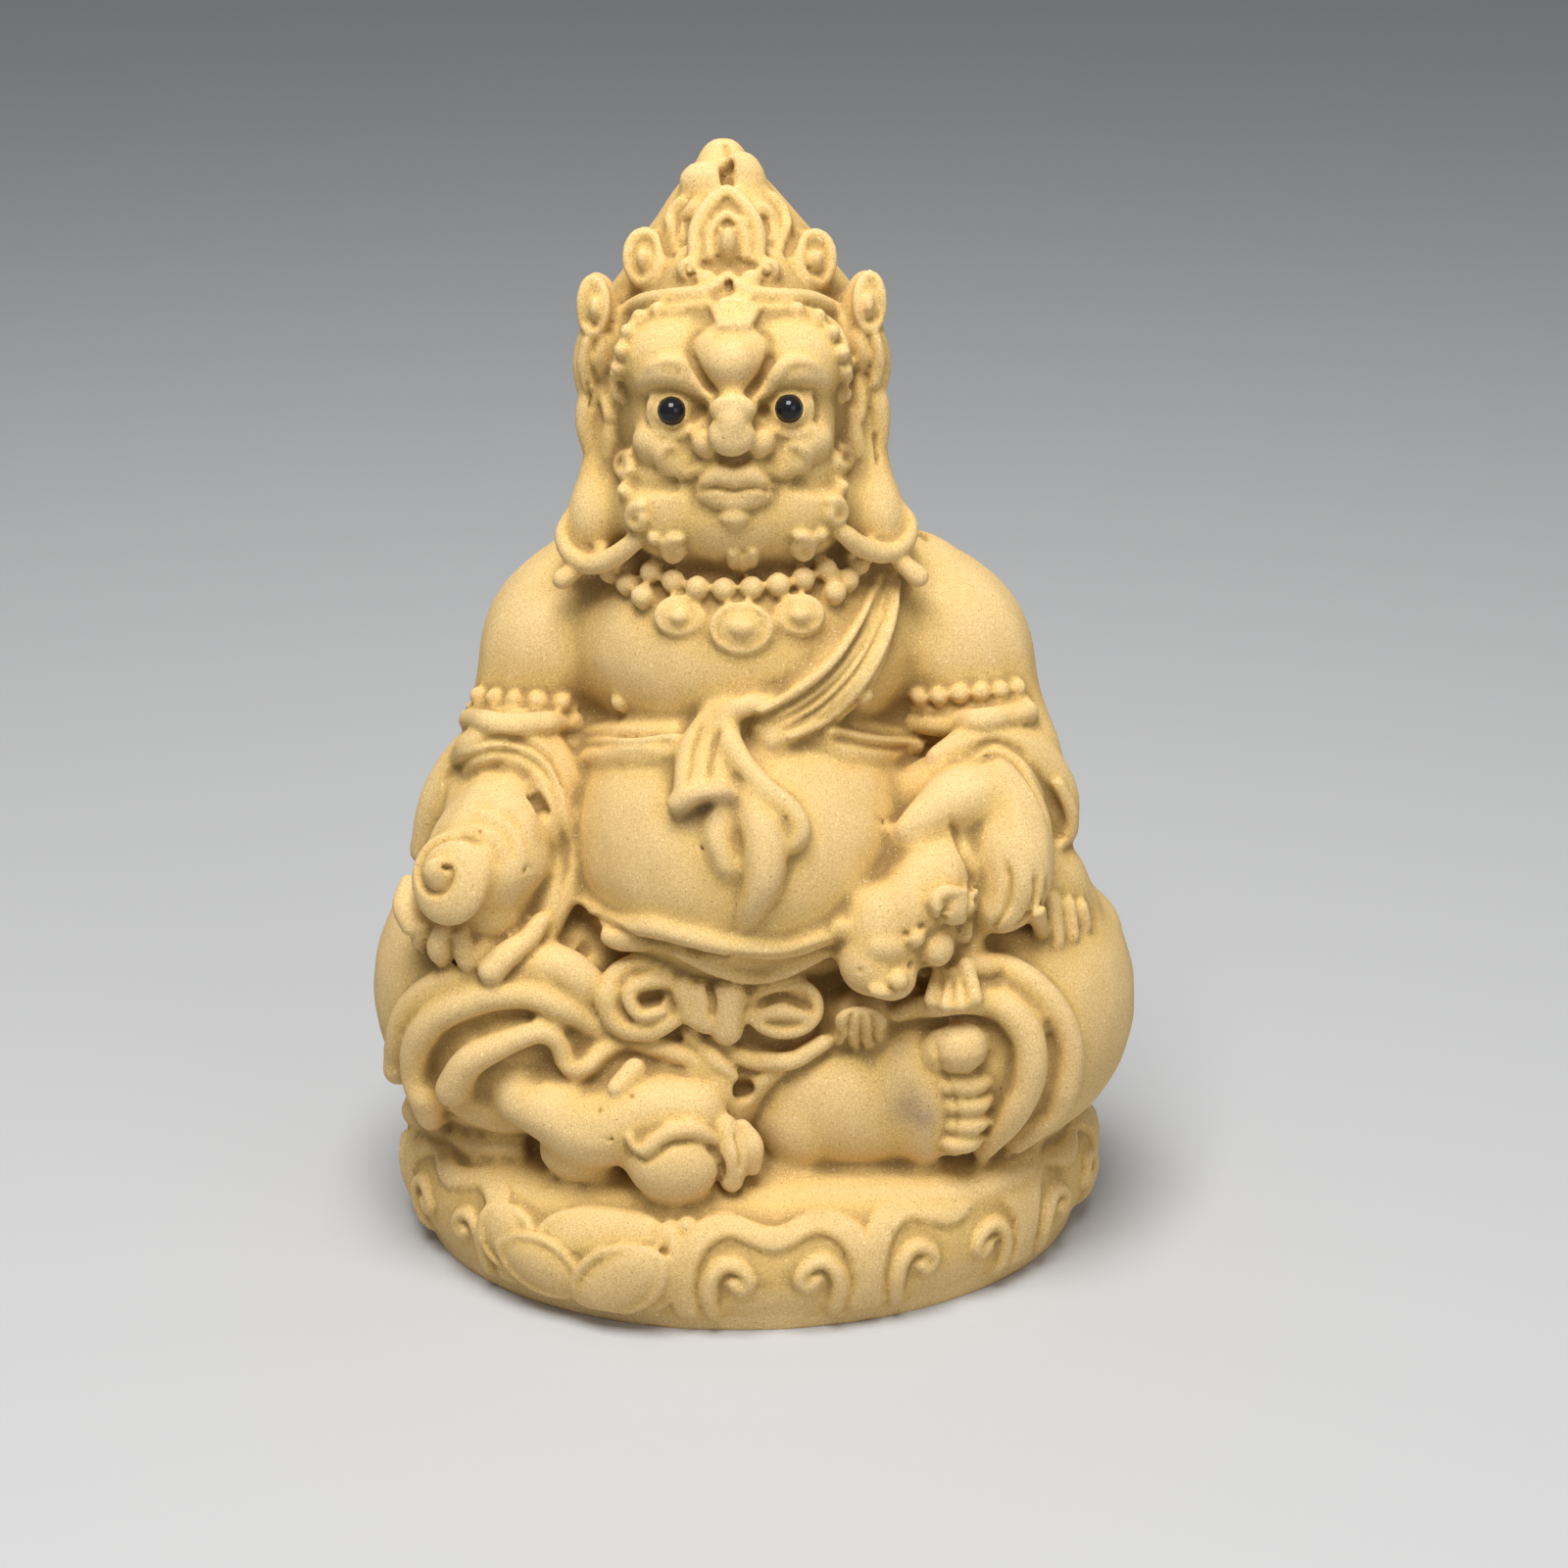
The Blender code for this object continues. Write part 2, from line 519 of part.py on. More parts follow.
def lay_back(clay, skin):
    """The plainer back: chest band, sash, belt and the robe's folds carried round, and long locks of hair."""
    clay.coil(skin.behind([(-17.0, 44.5), (-8.0, 43.2), (0.0, 42.8), (8.0, 43.2), (17.5, 44.5)], 0.1), 0.8)
    clay.coil(skin.behind([(-17.0, 42.6), (-8.0, 41.3), (0.0, 40.9), (8.0, 41.3), (17.5, 42.6)], 0.1), 0.8)
    for side, size in ((-1.0, 1.1), (0.0, 1.4), (1.0, 1.1)):
        clay.coil(skin.behind([(11.5 + side, 56.5 + side), (7.0 + side, 51.5 + side),
                               (1.0 + side, 47.0 + side),
                               (-5.0 + side, 43.6 + side)], 0.1), [size * 0.7, size, size, size * 0.8])
    clay.coil(skin.behind([(-20.0, 33.0), (-10.0, 30.2), (0.0, 29.4), (10.0, 30.2), (20.5, 32.6)], 0.2),
              [1.0, 1.2, 1.2, 1.0])
    for depth, reach, size in ((26.2, 22.0, 1.0), (22.2, 25.0, 1.2), (17.8, 26.0, 1.2)):
        clay.coil(skin.behind([(-reach, depth + 2.6), (-reach * 0.5, depth + 0.4), (0.0, depth - 0.6),
                               (reach * 0.5, depth + 0.3), (reach, depth + 2.4)], 0.0),
                  [size * 0.5, size, size, size, size * 0.5])
    for across in (-7.4, -4.3, -1.3, 1.7, 4.8):
        clay.coil(skin.behind([(-1.8 + (across + 1.3) * 0.3, 86.0), (across * 0.9, 79.0),
                               (across * 1.1, 71.0),
                               (across * 1.0, 62.5)], -0.2), [0.8, 1.6, 1.8, 1.2])


def lay_sleeves(clay, skin):
    # Sleeve arch over the shell
    clay.coil([at((-26.8, 32.5), -5.5), at((-25.2, 36.8), -5.5), at((-22.4, 40.3), -5.5),
               at((-18.9, 41.9), -6.5),
               at((-16.0, 39.4), -8.2), at((-15.2, 34.8), -9.8), at((-15.5, 30.0), -11.8),
               at((-16.9, 25.9), -13.2)],
              [1.2, 1.9, 2.3, 2.2, 1.8, 1.7, 1.6, 1.3])
    clay.coil([skin.on((-24.9, 38.0), 0.0), skin.on((-20.9, 40.8), 0.3), skin.on((-17.5, 39.2), 0.4),
               skin.on((-16.2, 34.8), 0.3), skin.on((-16.3, 30.0), 0.3), skin.on((-17.5, 25.9), 0.4),
               skin.on((-18.9, 24.2), 0.4), skin.on((-20.4, 23.1), 0.4)],
              [1.4, 1.7, 1.5, 1.3, 1.2, 1.1, 0.9, 1.3])
    clay.coil([skin.on((-26.1, 34.3), 0.0), skin.on((-24.7, 37.5), 0.5), skin.on((-22.0, 40.3), 0.8),
               skin.on((-18.7, 40.6), 0.8), skin.on((-16.5, 38.0), 0.8)], [1.0, 1.6, 1.8, 1.7, 1.3])
    # Right sleeve fold
    clay.coil([skin.on((15.4, 40.0), 0.2), at((18.9, 41.6), -8.0), at((22.6, 40.4), -6.4),
               at((24.7, 37.4), -5.8),
               at((25.4, 34.5), -5.8)], [1.0, 1.7, 2.1, 2.2, 1.7])


def lay_left_leg(clay, skin):
    # Outer roll, then the wide roll that turns into the hem, then the wavy inner hem
    clay.coil(skin.lay([(-21.5, 22.1), (-24.9, 21.7), (-27.6, 19.7), (-28.6, 16.5), (-28.2, 12.7),
                        (-26.1, 9.6),
                        (-22.0, 7.5)], 0.35), [1.1, 1.2, 1.2, 1.15, 1.1, 1.0, 0.8])
    clay.coil(skin.lay([(-18.9, 7.7), (-22.3, 8.3), (-25.1, 10.5), (-26.5, 13.5), (-26.8, 16.3),
                        (-25.3, 18.9),
                        (-21.3, 20.6), (-16.4, 20.5), (-12.6, 18.2), (-8.9, 16.8), (-4.0, 15.3),
                        (-2.0, 12.9),
                        (-1.4, 10.8)], 0.8), [0.7, 1.2, 1.35, 1.35, 1.2, 1.0, 0.9, 0.8])
    clay.coil(skin.lay([(-24.0, 13.4), (-22.6, 15.7), (-20.1, 16.9), (-17.3, 17.9), (-15.9, 17.1),
                        (-15.1, 15.3),
                        (-13.9, 14.6), (-12.2, 15.5), (-10.4, 16.5), (-7.8, 16.5)], 0.9),
              [1.5, 1.3, 1.0, 0.85, 0.8, 0.8, 0.8])
    clay.ball(skin.on((-13.3, 17.4), -0.2), (2.8, 1.2, 1.8))
    # Roll of cloth on the thigh
    clay.coil(skin.lay([(-19.1, 23.1), (-15.5, 22.9), (-13.1, 21.0), (-12.0, 18.9)], 0.2),
              [1.3, 1.8, 1.7, 1.0])


def lay_right_leg(clay, skin):
    clay.coil(skin.lay([(17.9, 23.1), (21.1, 22.7), (23.9, 20.7), (25.8, 17.5), (25.9, 14.3), (24.7, 11.3),
                        (21.7, 8.8)], 0.4), [0.9, 1.2, 1.25, 1.25, 1.2, 1.1, 0.9])
    clay.coil(skin.lay([(11.8, 19.2), (14.9, 20.0), (18.1, 20.5), (21.0, 19.5), (22.6, 17.1), (22.7, 14.3),
                        (21.4, 11.3), (19.1, 8.7)], 0.7), [0.7, 1.0, 1.3, 1.45, 1.45, 1.3, 1.0])
    # Hem along the instep
    clay.coil(skin.lay([(-0.7, 10.8), (0.9, 13.6), (4.0, 15.9), (8.3, 17.7)], 0.2), [0.7, 0.8, 0.8, 0.6])


def lay_sash(clay, skin):
    # Sash over the shoulder: three strands side by side
    for side, size in ((-1.0, 1.25), (0.0, 1.6), (1.0, 1.25)):
        clay.coil([skin.on((11.6, 54.9), 0.0), skin.on(moved((10.3, 51.2), side * 0.6, -side * 0.3), 0.1),
                   skin.on(moved((7.9, 47.5), side, -side * 0.8), 0.2),
                   skin.on(moved((4.9, 44.8), side * 0.8, -side), 0.3),
                   skin.on(moved((1.4, 42.5), side * 0.3, -side), 0.3)],
                  [0.5, size * 0.75, size, size, size * 0.9])
    # Wide tail on the left with a rolled end
    for side in (-1.1, 0.0, 1.1):
        clay.coil([skin.on(moved((-1.9, 44.3), side * 0.6, -abs(side) * 0.3), 0.2),
                   skin.on(moved((-3.3, 40.8), side, 0.0), 0.3),
                   skin.on(moved((-3.7, 37.5), side, 0.0), 0.5)], [1.2, 1.35, 1.35])
    clay.coil([skin.on((-5.6, 36.2), 0.9), skin.on((-4.0, 37.0), 1.2), skin.on((-1.9, 37.0), 1.0)],
              [0.95, 1.0, 0.8])
    # Lower tails
    clay.coil([skin.on((-2.2, 35.9), 0.0), skin.on((-2.6, 33.5), 0.1), skin.on((-1.9, 31.2), 0.0)],
              [1.0, 1.1, 0.9])
    clay.coil([skin.on((-0.0, 37.0), 0.2), skin.on((1.0, 34.0), 0.3), skin.on((1.2, 30.8), 0.3),
               skin.on((0.4, 28.4), 0.1), skin.on((-0.7, 26.1), -0.2)], [1.3, 1.7, 1.6, 1.1, 0.35])
    # Knot strap round the sash
    clay.coil([skin.on((2.0, 45.1), 1.0), skin.on((-0.4, 45.1), 1.4), skin.on((-1.8, 43.1), 1.6),
               skin.on((-1.1, 39.9), 1.4), skin.on((0.9, 37.5), 1.2), skin.on((3.1, 35.7), 0.8),
               skin.on((3.9, 34.0), 0.6), skin.on((2.6, 32.5), 0.3)],
              [0.7, 0.9, 0.95, 0.95, 0.9, 0.95, 0.95, 0.6])
    # Chest band, two ridges a side
    clay.coil(skin.lay([(-15.4, 41.9), (-12.5, 42.2), (-5.9, 42.2)], 0.1), 0.75)
    clay.coil(skin.lay([(-15.2, 40.0), (-12.5, 40.2), (-5.9, 40.6)], 0.1), 0.75)
    clay.coil(skin.lay([(6.5, 42.8), (10.0, 42.2), (13.6, 42.0)], 0.1), 0.75)
    clay.coil(skin.lay([(4.6, 41.9), (8.8, 40.7), (14.1, 40.4)], 0.1), 0.75)


def lay_belt(clay, skin):
    # Belt under the belly with its hook
    clay.coil(skin.lay([(-14.2, 29.7), (-13.0, 28.4), (-11.0, 26.7), (-7.5, 26.3), (-2.0, 25.0),
                        (2.8, 24.7), (7.8, 26.3)],
                       0.2), [0.6, 0.7, 0.9, 0.95, 0.95, 0.95, 0.8])
    clay.ball(skin.on((-9.8, 25.5), 0.0), (2.5, 1.2, 1.3))
    clay.coil(skin.lay([(-6.0, 24.5), (-3.0, 23.0), (-0.0, 22.2), (2.8, 22.7), (6.4, 24.5)], 0.1), 0.65)


# Third pass: face, hands, feet and ornament, laid on the dressed figure

def lay_detail(clay, skin):
    lay_face(clay, skin)
    lay_hands(clay, skin)
    lay_feet(clay, skin)
    lay_bow(clay, skin)
    lay_crown(clay, skin)
    lay_ribbons(clay, skin)
    lay_necklace(clay, skin)
    lay_armlets(clay, skin)
    lay_base_relief(clay, BaseWall())


def lay_face(clay, skin):
    # Nostrils, tip of the nose and the wrinkle over it
    clay.ball(skin.on((-1.4, 66.5), -0.4), (1.45, 1.1, 1.35))
    for wing in ((-3.6, 66.2), (0.8, 66.2)):
        clay.ball(skin.on(wing, 0.1), (1.05, 1.0, 1.0))
    clay.coil(skin.lay([(-2.9, 68.9), (-1.4, 69.6), (0.2, 68.9)], 0.0), [0.3, 0.42, 0.3])
    # Lips and chin
    clay.coil(skin.lay([(-3.9, 62.8), (-2.3, 63.6), (-1.4, 63.4), (-0.4, 63.6), (1.5, 62.8)], 0.15),
              [0.4, 0.75, 0.7, 0.75, 0.4])
    clay.coil(skin.lay([(-3.3, 61.9), (-1.2, 61.5), (1.0, 61.9)], 0.2), [0.5, 0.85, 0.5])
    clay.ball(skin.on((-1.2, 59.9), -0.2), (1.15, 0.8, 0.75))
    # Moustache curls
    for curl in ([(-2.7, 64.7), (-4.3, 63.7), (-6.0, 63.4), (-7.3, 64.0), (-7.4, 65.3), (-6.5, 66.0)],
                 [(0.1, 64.7), (1.7, 63.7), (3.3, 63.4), (4.4, 64.0), (4.5, 65.3), (3.6, 66.0)]):
        clay.coil(skin.lay(curl, 0.0), [0.5, 0.6, 0.65, 0.6, 0.55, 0.4])
    # Brow edges
    for brow in ([(-8.1, 72.6), (-6.5, 73.0), (-5.1, 72.6), (-4.2, 71.4), (-3.2, 69.9)],
                 [(5.4, 72.6), (3.8, 73.0), (2.2, 72.6), (1.2, 71.4), (0.1, 69.9)]):
        clay.coil(skin.lay(brow, -0.15), [0.35, 0.5, 0.5, 0.5, 0.45])
    # Eyeballs of clay with their lids
    for eye, corner in ((EYE_SPOTS[0], 1.0), (EYE_SPOTS[1], -1.0)):
        clay.ball(eye_centre(skin, eye), EYEBALL_RADIUS)
        lid = [moved(eye, -corner * 1.9, 0.2), moved(eye, -corner * 0.9, -1.55),
               moved(eye, corner * 0.9, -1.5),
               moved(eye, corner * 2.3, -0.7), moved(eye, corner * 3.0, 0.1)]
        clay.coil([skin.on(spot, 0.1) for spot in lid], [0.4, 0.55, 0.55, 0.45, 0.3])


def eye_centre(skin, spot):
    return skin.on(spot, 0.05)


def ring(spot, wide, high, count=13):
    """Spots round an oval on the drawing board, closed."""
    return [moved(spot, wide * math.sin(turn), high * math.cos(turn))
            for turn in np.linspace(0.0, 2.0 * math.pi, count)]


def lay_crown(clay, skin):
    # Headband: two ridges that rise to a peak over the brow and run down beside the face
    left_band = [(-1.9, 79.5), (-3.6, 78.5), (-6.2, 78.0), (-8.8, 77.5), (-10.3, 76.3), (-11.1, 74.2),
                 (-11.4, 72.1),
                 (-11.3, 70.3), (-10.9, 68.1)]
    right_band = [(-1.9, 79.5), (-0.3, 78.5), (2.0, 78.0), (5.2, 77.7), (7.5, 76.2), (8.3, 74.2),
                  (8.9, 71.9),
                  (9.1, 70.3), (8.6, 68.1)]
    for band in (left_band, right_band):
        clay.coil(skin.lay(band, 0.15), [0.7, 0.8, 0.8, 0.75, 0.6])
        inner = [moved(spot, 0.35 * (-1.7 - spot[0]) / 9.0, -0.95) for spot in band[1:5]]
        clay.coil(skin.lay(inner, 0.0), 0.42)
    # Middle leaf: an arch round a boss, with a scroll at each foot
    clay.coil(skin.lay([(-4.4, 80.8), (-4.3, 83.3), (-3.3, 85.3), (-1.9, 86.2), (-0.5, 85.3), (0.5, 83.3),
                        (0.5, 80.8)],
                       0.1), 0.6)
    clay.ball(skin.on((-1.8, 82.4), 0.2), (1.2, 0.7, 1.9), turn=(-28, 0, 0))
    for scroll in ((-5.0, 80.1), (1.4, 80.1)):
        clay.ball(skin.on(scroll, 0.3), (0.95, 0.8, 0.95))
    # Side leaves
    for spot in ((-8.6, 81.2), (5.4, 81.2)):
        clay.coil(skin.lay(ring(spot, 1.3, 1.9), 0.1), 0.5)
        clay.ball(skin.on(moved(spot, 0.0, -0.2), 0.2), (0.65, 0.5, 1.0), turn=(-20, 0, 0))
    # Ears
    left_ear = [(-12.2, 70.5), (-13.3, 69.5), (-13.4, 67.4), (-12.8, 65.0), (-12.3, 63.1)]
    right_ear = [(9.5, 70.5), (10.5, 69.5), (10.7, 67.4), (10.4, 65.2), (10.0, 63.2)]
    for side, ear in ((-1.0, left_ear), (1.0, right_ear)):
        clay.coil([at(spot, -3.2) for spot in ear], [0.8, 1.0, 1.0, 0.9, 0.7])
        clay.coil([at(moved(ear[1], -side * 2.0, -1.0), -4.2), at(moved(ear[2], -side * 2.1, -1.0), -4.6),
                   at(moved(ear[3], -side * 1.4, 0.0), -4.8)], [0.6, 0.75, 0.6])
    # Tight curls down the jaw and under the chin
    for spot in ((-10.1, 64.0), (7.4, 64.6), (-9.2, 59.9), (6.8, 60.3), (-6.2, 57.3), (4.3, 57.5)):
        clay.ball(skin.on(spot, 0.0), (1.1, 0.8, 1.2))


def lay_ribbons(clay, skin):
    """Ribbon loops that hang from the lobes to the shoulders."""
    left_loop = [((-14.6, 60.0), -5.0), ((-15.2, 58.5), -5.6), ((-14.7, 57.0), -6.6), ((-13.2, 56.1), -7.6),
                 ((-11.4, 56.5), -8.6), ((-9.6, 57.8), -9.4), ((-8.8, 58.7), -9.6)]
    right_loop = [((12.3, 60.5), -5.0), ((13.0, 59.2), -5.4), ((12.6, 57.8), -6.4), ((11.0, 57.0), -7.6),
                  ((9.1, 57.5), -8.8), ((7.8, 58.5), -9.6), ((6.9, 59.2), -9.8)]
    for loop in (left_loop, right_loop):
        clay.coil([at(spot, depth) for spot, depth in loop], [0.7, 0.85, 0.9, 0.9, 0.8, 0.6])
    clay.coil([at((-14.1, 55.8), -7.0), at((-15.4, 54.8), -7.2)], [0.7, 0.85])
    clay.coil([at((12.3, 56.3), -7.0), at((13.8, 55.0), -7.0)], [0.7, 0.9])
    for spot in ((-12.2, 57.5), (10.0, 57.9)):
        clay.ball(skin.on(spot, 0.1), 0.6)


def lay_necklace(clay, skin):
    inner_row = [(-8.8, 56.4), (-7.6, 55.3), (-6.0, 54.5), (-4.1, 53.9), (-2.0, 53.7), (0.1, 53.8),
                 (2.2, 54.1),
                 (4.2, 54.7), (5.8, 55.6), (6.8, 56.8)]
    outer_row = [(-10.9, 55.4), (-9.7, 54.3), (-8.4, 53.1), (8.9, 56.0), (8.1, 54.8), (6.7, 53.6)]
    for spot in inner_row + outer_row:
        clay.ball(skin.on(spot, 0.35), 0.92, cuts=2)
    for spot, wide, high in (((-5.8, 51.8), 2.1, 1.6), ((-0.7, 50.8), 2.8, 2.2), ((4.1, 51.9), 2.1, 1.65)):
        clay.ball(skin.on(spot, 0.0), (wide * 0.42, 0.6, high * 0.42), cuts=2)
    for spot in ((-10.7, 44.7), (9.4, 45.2)):
        clay.ball(skin.on(spot, 0.0), 0.65, cuts=2)


def lay_armlets(clay, skin):
    clay.coil(skin.lay([(-22.6, 43.1), (-20.5, 42.7), (-17.7, 42.6), (-14.6, 43.1)], 0.2),
              [1.1, 1.15, 1.15, 1.0])
    clay.coil(skin.lay([(13.6, 43.1), (16.5, 42.8), (19.7, 43.0), (22.6, 43.8)], 0.2),
              [1.0, 1.15, 1.15, 1.1])
    for spot in ((-22.2, 45.0), (-20.7, 44.9), (-19.1, 44.8), (-17.3, 44.8), (-15.5, 44.9)):
        clay.ball(skin.on(spot, 0.3), 0.72, cuts=2)
    for spot in ((13.9, 45.2), (15.4, 45.3), (17.2, 45.6), (18.9, 45.7), (20.4, 45.7), (21.8, 45.9)):
        clay.ball(skin.on(spot, 0.3), 0.72, cuts=2)


def lay_base_relief(clay, wall):
    """Scroll clouds round the base, with a group of leaves where the front turns to the left."""
    pitch = wall.girth / CLOUD_COUNT
    arch = [(-7.0, 1.0), (-7.4, 4.6), (-6.5, 8.3), (-3.9, 10.1), (0.0, 8.7), (3.9, 10.1), (6.5, 8.3),
            (7.4, 4.6),
            (7.0, 1.0)]
    scroll = [(5.4, 0.8), (5.7, 3.4), (5.3, 5.5), (4.1, 6.6), (2.8, 6.1), (2.3, 5.0), (3.0, 4.3),
              (3.5, 4.9)]
    for index in range(CLOUD_COUNT):
        if index in LEAF_PLACES:
            continue
        middle = index * pitch + CLOUD_START
        clay.coil(wall.lay(arch, -0.35, 1.0, middle), 0.85)
        for mirror in (-1.0, 1.0):
            clay.coil(wall.lay(scroll, -0.2, mirror, middle), 0.72)
    for index in LEAF_PLACES:
        middle = index * pitch + CLOUD_START
        for across, climb, wide, high, tilt in LEAVES:
            leaf(clay, wall, middle + across, climb, wide, high, math.radians(tilt))
        clay.ball(wall.at(middle + 7.4, 8.6), 0.7)


def leaf(clay, wall, along, climb, wide, high, tilt):
    """A pointed leaf: two edges that meet at both tips, over a low cushion."""
    for edge in (-1.0, 1.0):
        rows = []
        for step in np.linspace(-1.0, 1.0, 7):
            across = step * wide
            up = edge * high * (1.0 - step * step)
            rows.append((along + across * math.cos(tilt) - up * math.sin(tilt),
                         max(0.4, climb + across * math.sin(tilt) + up * math.cos(tilt))))
        clay.coil([wall.at(row[0], row[1], -0.2) for row in rows], [0.3, 0.5, 0.5, 0.3])
    for step in (-0.45, 0.0, 0.45):
        spot = (along + step * wide * math.cos(tilt), climb + step * wide * math.sin(tilt))
        clay.ball(wall.at(spot[0], spot[1], -0.7), high * 0.62)


def lay_hands(clay, skin):
    clay.coil([at((-27.3, 30.4), -11.5), at((-27.8, 28.0), -13.0), at((-28.0, 26.5), -13.6)],
              [1.0, 1.1, 0.8])
    clay.coil([skin.on((-26.5, 26.4), 0.3), skin.on((-26.7, 24.8), 0.3)], [0.6, 0.6])
    clay.coil([skin.on((-24.9, 26.2), 0.4), skin.on((-24.9, 24.0), 0.4)], [0.9, 1.0])
    clay.coil([skin.on((-23.4, 25.7), 0.5), skin.on((-22.0, 24.2), 0.5), skin.on((-19.7, 24.0), 0.4)],
              [1.0, 1.35, 0.8])
    # Mongoose cheeks, ear and paws
    clay.ball(skin.on((15.0, 24.7), 0.0), (1.8, 1.6, 1.7))
    clay.coil([skin.on((15.8, 27.1), 0.2), skin.on((16.6, 28.4), 0.4), skin.on((17.7, 28.0), 0.3),
               skin.on((17.4, 25.9), 0.2)], [0.9, 1.3, 1.1, 0.8])
    clay.coil([skin.on((7.1, 20.8), 0.2), skin.on((8.6, 19.2), 0.2)], [1.3, 2.0])
    for knuckle in ((7.9, 19.4), (9.2, 19.0), (10.4, 19.7)):
        clay.coil([skin.on(knuckle, 0.2), skin.on(moved(knuckle, -0.1, -2.0), 0.2)], [0.75, 0.7])
    clay.coil([skin.on((17.6, 21.9), 0.1), skin.on((18.1, 20.2), 0.1)], [0.8, 0.8])
    clay.coil([skin.on((16.1, 21.9), 0.1), skin.on((15.8, 20.3), 0.1)], [0.8, 0.8])
    for tip, length in (((24.2, 25.5), 2.2), ((25.4, 25.2), 3.0), ((26.5, 25.5), 2.8), ((27.5, 26.2), 2.2)):
        clay.coil([skin.on(moved(tip, -0.7, length), 0.2), skin.on(tip, 0.2)], [0.85, 0.6])


def lay_feet(clay, skin):
    clay.coil([skin.on((-10.5, 12.9), 0.2), skin.on((-8.9, 14.7), 0.4)], [0.8, 1.0])
    clay.coil([at((-2.2, 9.7), -19.0), at((-1.5, 7.6), -19.6), at((-1.7, 5.7), -19.6)], [1.2, 1.3, 1.0])
    clay.coil([at((-0.6, 9.7), -18.4), at((0.1, 8.1), -18.9), at((0.2, 6.8), -18.9)], [0.9, 1.0, 0.8])
    clay.coil(skin.lay([(-9.8, 8.9), (-8.6, 8.0), (-7.3, 9.1), (-5.2, 9.7), (-3.5, 8.6)], 0.2),
              [0.4, 0.7, 0.85, 0.9, 0.7])
    clay.coil([at((15.5, 15.8), -15.8), at((17.5, 16.5), -16.8)], [2.0, 2.05])
    toes = (((18.0, 13.5), 1.6), ((18.2, 11.9), 1.5), ((18.2, 10.3), 1.4), ((17.7, 8.5), 1.3))
    for spot, radius in toes:
        clay.ball(at(spot, -17.0), (radius, 1.2, radius * 0.62))


def lay_bow(clay, skin):
    # Left loop rolled in on itself, two knots, right loop
    clay.coil(skin.lay([(-5.4, 21.6), (-7.8, 23.1), (-10.7, 22.5), (-11.7, 20.2), (-10.1, 18.1),
                        (-7.2, 18.2),
                        (-5.7, 19.8), (-6.8, 21.6), (-9.1, 21.4), (-9.4, 19.7), (-7.7, 19.2)], 0.5),
              [0.8, 0.95, 0.95, 0.9, 0.8, 0.7, 0.6])
    clay.coil([skin.on((-5.1, 21.9), 0.8), skin.on((-4.3, 19.5), 0.8)], [1.3, 1.4])
    clay.coil([skin.on((-2.0, 21.3), 0.8), skin.on((-1.5, 19.2), 0.8)], [1.5, 1.5])
    clay.coil(skin.lay([(0.1, 21.0), (2.5, 21.8), (4.9, 21.1), (5.5, 19.5), (4.2, 17.9), (1.7, 17.6),
                        (-0.1, 18.7)], 0.5), [0.8, 0.9, 0.9, 0.8])
    clay.coil(skin.lay([(0.2, 19.2), (2.3, 20.0), (4.1, 19.5)], 0.5), 0.8)
    # Tails of the bow
    clay.coil(skin.lay([(-3.8, 17.4), (-2.3, 15.3), (0.2, 13.9)], 0.2), [0.9, 0.8, 0.6])
    clay.coil(skin.lay([(-2.2, 17.1), (-0.4, 15.8), (2.8, 15.5), (5.9, 16.9)], 0.2), [0.7, 0.9, 0.7])


# Finishing: from soft clay to solids in metres

def thinned(mesh, triangles):
    item = bpy.data.objects.new("thinning", mesh)
    bpy.context.scene.collection.objects.link(item)
    mesh.calc_loop_triangles()
    thin = item.modifiers.new("thin", "DECIMATE")
    thin.ratio = min(1.0, triangles / len(mesh.loop_triangles))
    thin.use_collapse_triangulate = True
    result = evaluated_mesh(item)
    bpy.data.objects.remove(item, do_unlink=True)
    return main_shell(result)


def cut_flat(mesh):
    """A level underside: everything below it is cut away and the cut is closed."""
    shape = bmesh.new()
    shape.from_mesh(mesh)
    everything = shape.verts[:] + shape.edges[:] + shape.faces[:]
    bmesh.ops.bisect_plane(shape, geom=everything, dist=0.0001, plane_co=(0.0, 0.0, UNDERSIDE),
                           plane_no=(0.0, 0.0, 1.0), clear_inner=True)
    rim = [edge for edge in shape.edges if edge.is_boundary]
    filled = bmesh.ops.contextual_create(shape, geom=rim)
    bmesh.ops.triangulate(shape, faces=filled["faces"])
    bmesh.ops.recalc_face_normals(shape, faces=shape.faces[:])
    shape.to_mesh(mesh)
    shape.free()


def to_metres(place):
    return Vector((place[0] * MODULE, place[1] * MODULE, (place[2] - UNDERSIDE) * MODULE))


def scale_to_metres(mesh):
    mesh.transform(Matrix.Scale(MODULE, 4) @ Matrix.Translation((0.0, 0.0, -UNDERSIDE)))


def new_collection(name):
    group = bpy.data.collections.new(name)
    bpy.context.scene.collection.children.link(group)
    return group


def ball_object(name, centre, diameter, group, segments, rings):
    mesh = bpy.data.meshes.new(name)
    shape = bmesh.new()
    bmesh.ops.create_uvsphere(shape, u_segments=segments, v_segments=rings, radius=diameter / 2.0)
    shape.to_mesh(mesh)
    shape.free()
    item = bpy.data.objects.new(name, mesh)
    item.location = centre
    group.objects.link(item)
    return item


def cut_socket(figure, name, centre, group):
    cutter = ball_object(name, centre, EYE_BEAD_DIAMETER + 2.0 * BEAD_CLEARANCE, group, 16, 10)
    cutter.hide_render = True
    cutter.display_type = "WIRE"
    cut = figure.modifiers.new(name, "BOOLEAN")
    cut.operation = "DIFFERENCE"
    cut.solver = "EXACT"
    cut.object = cutter


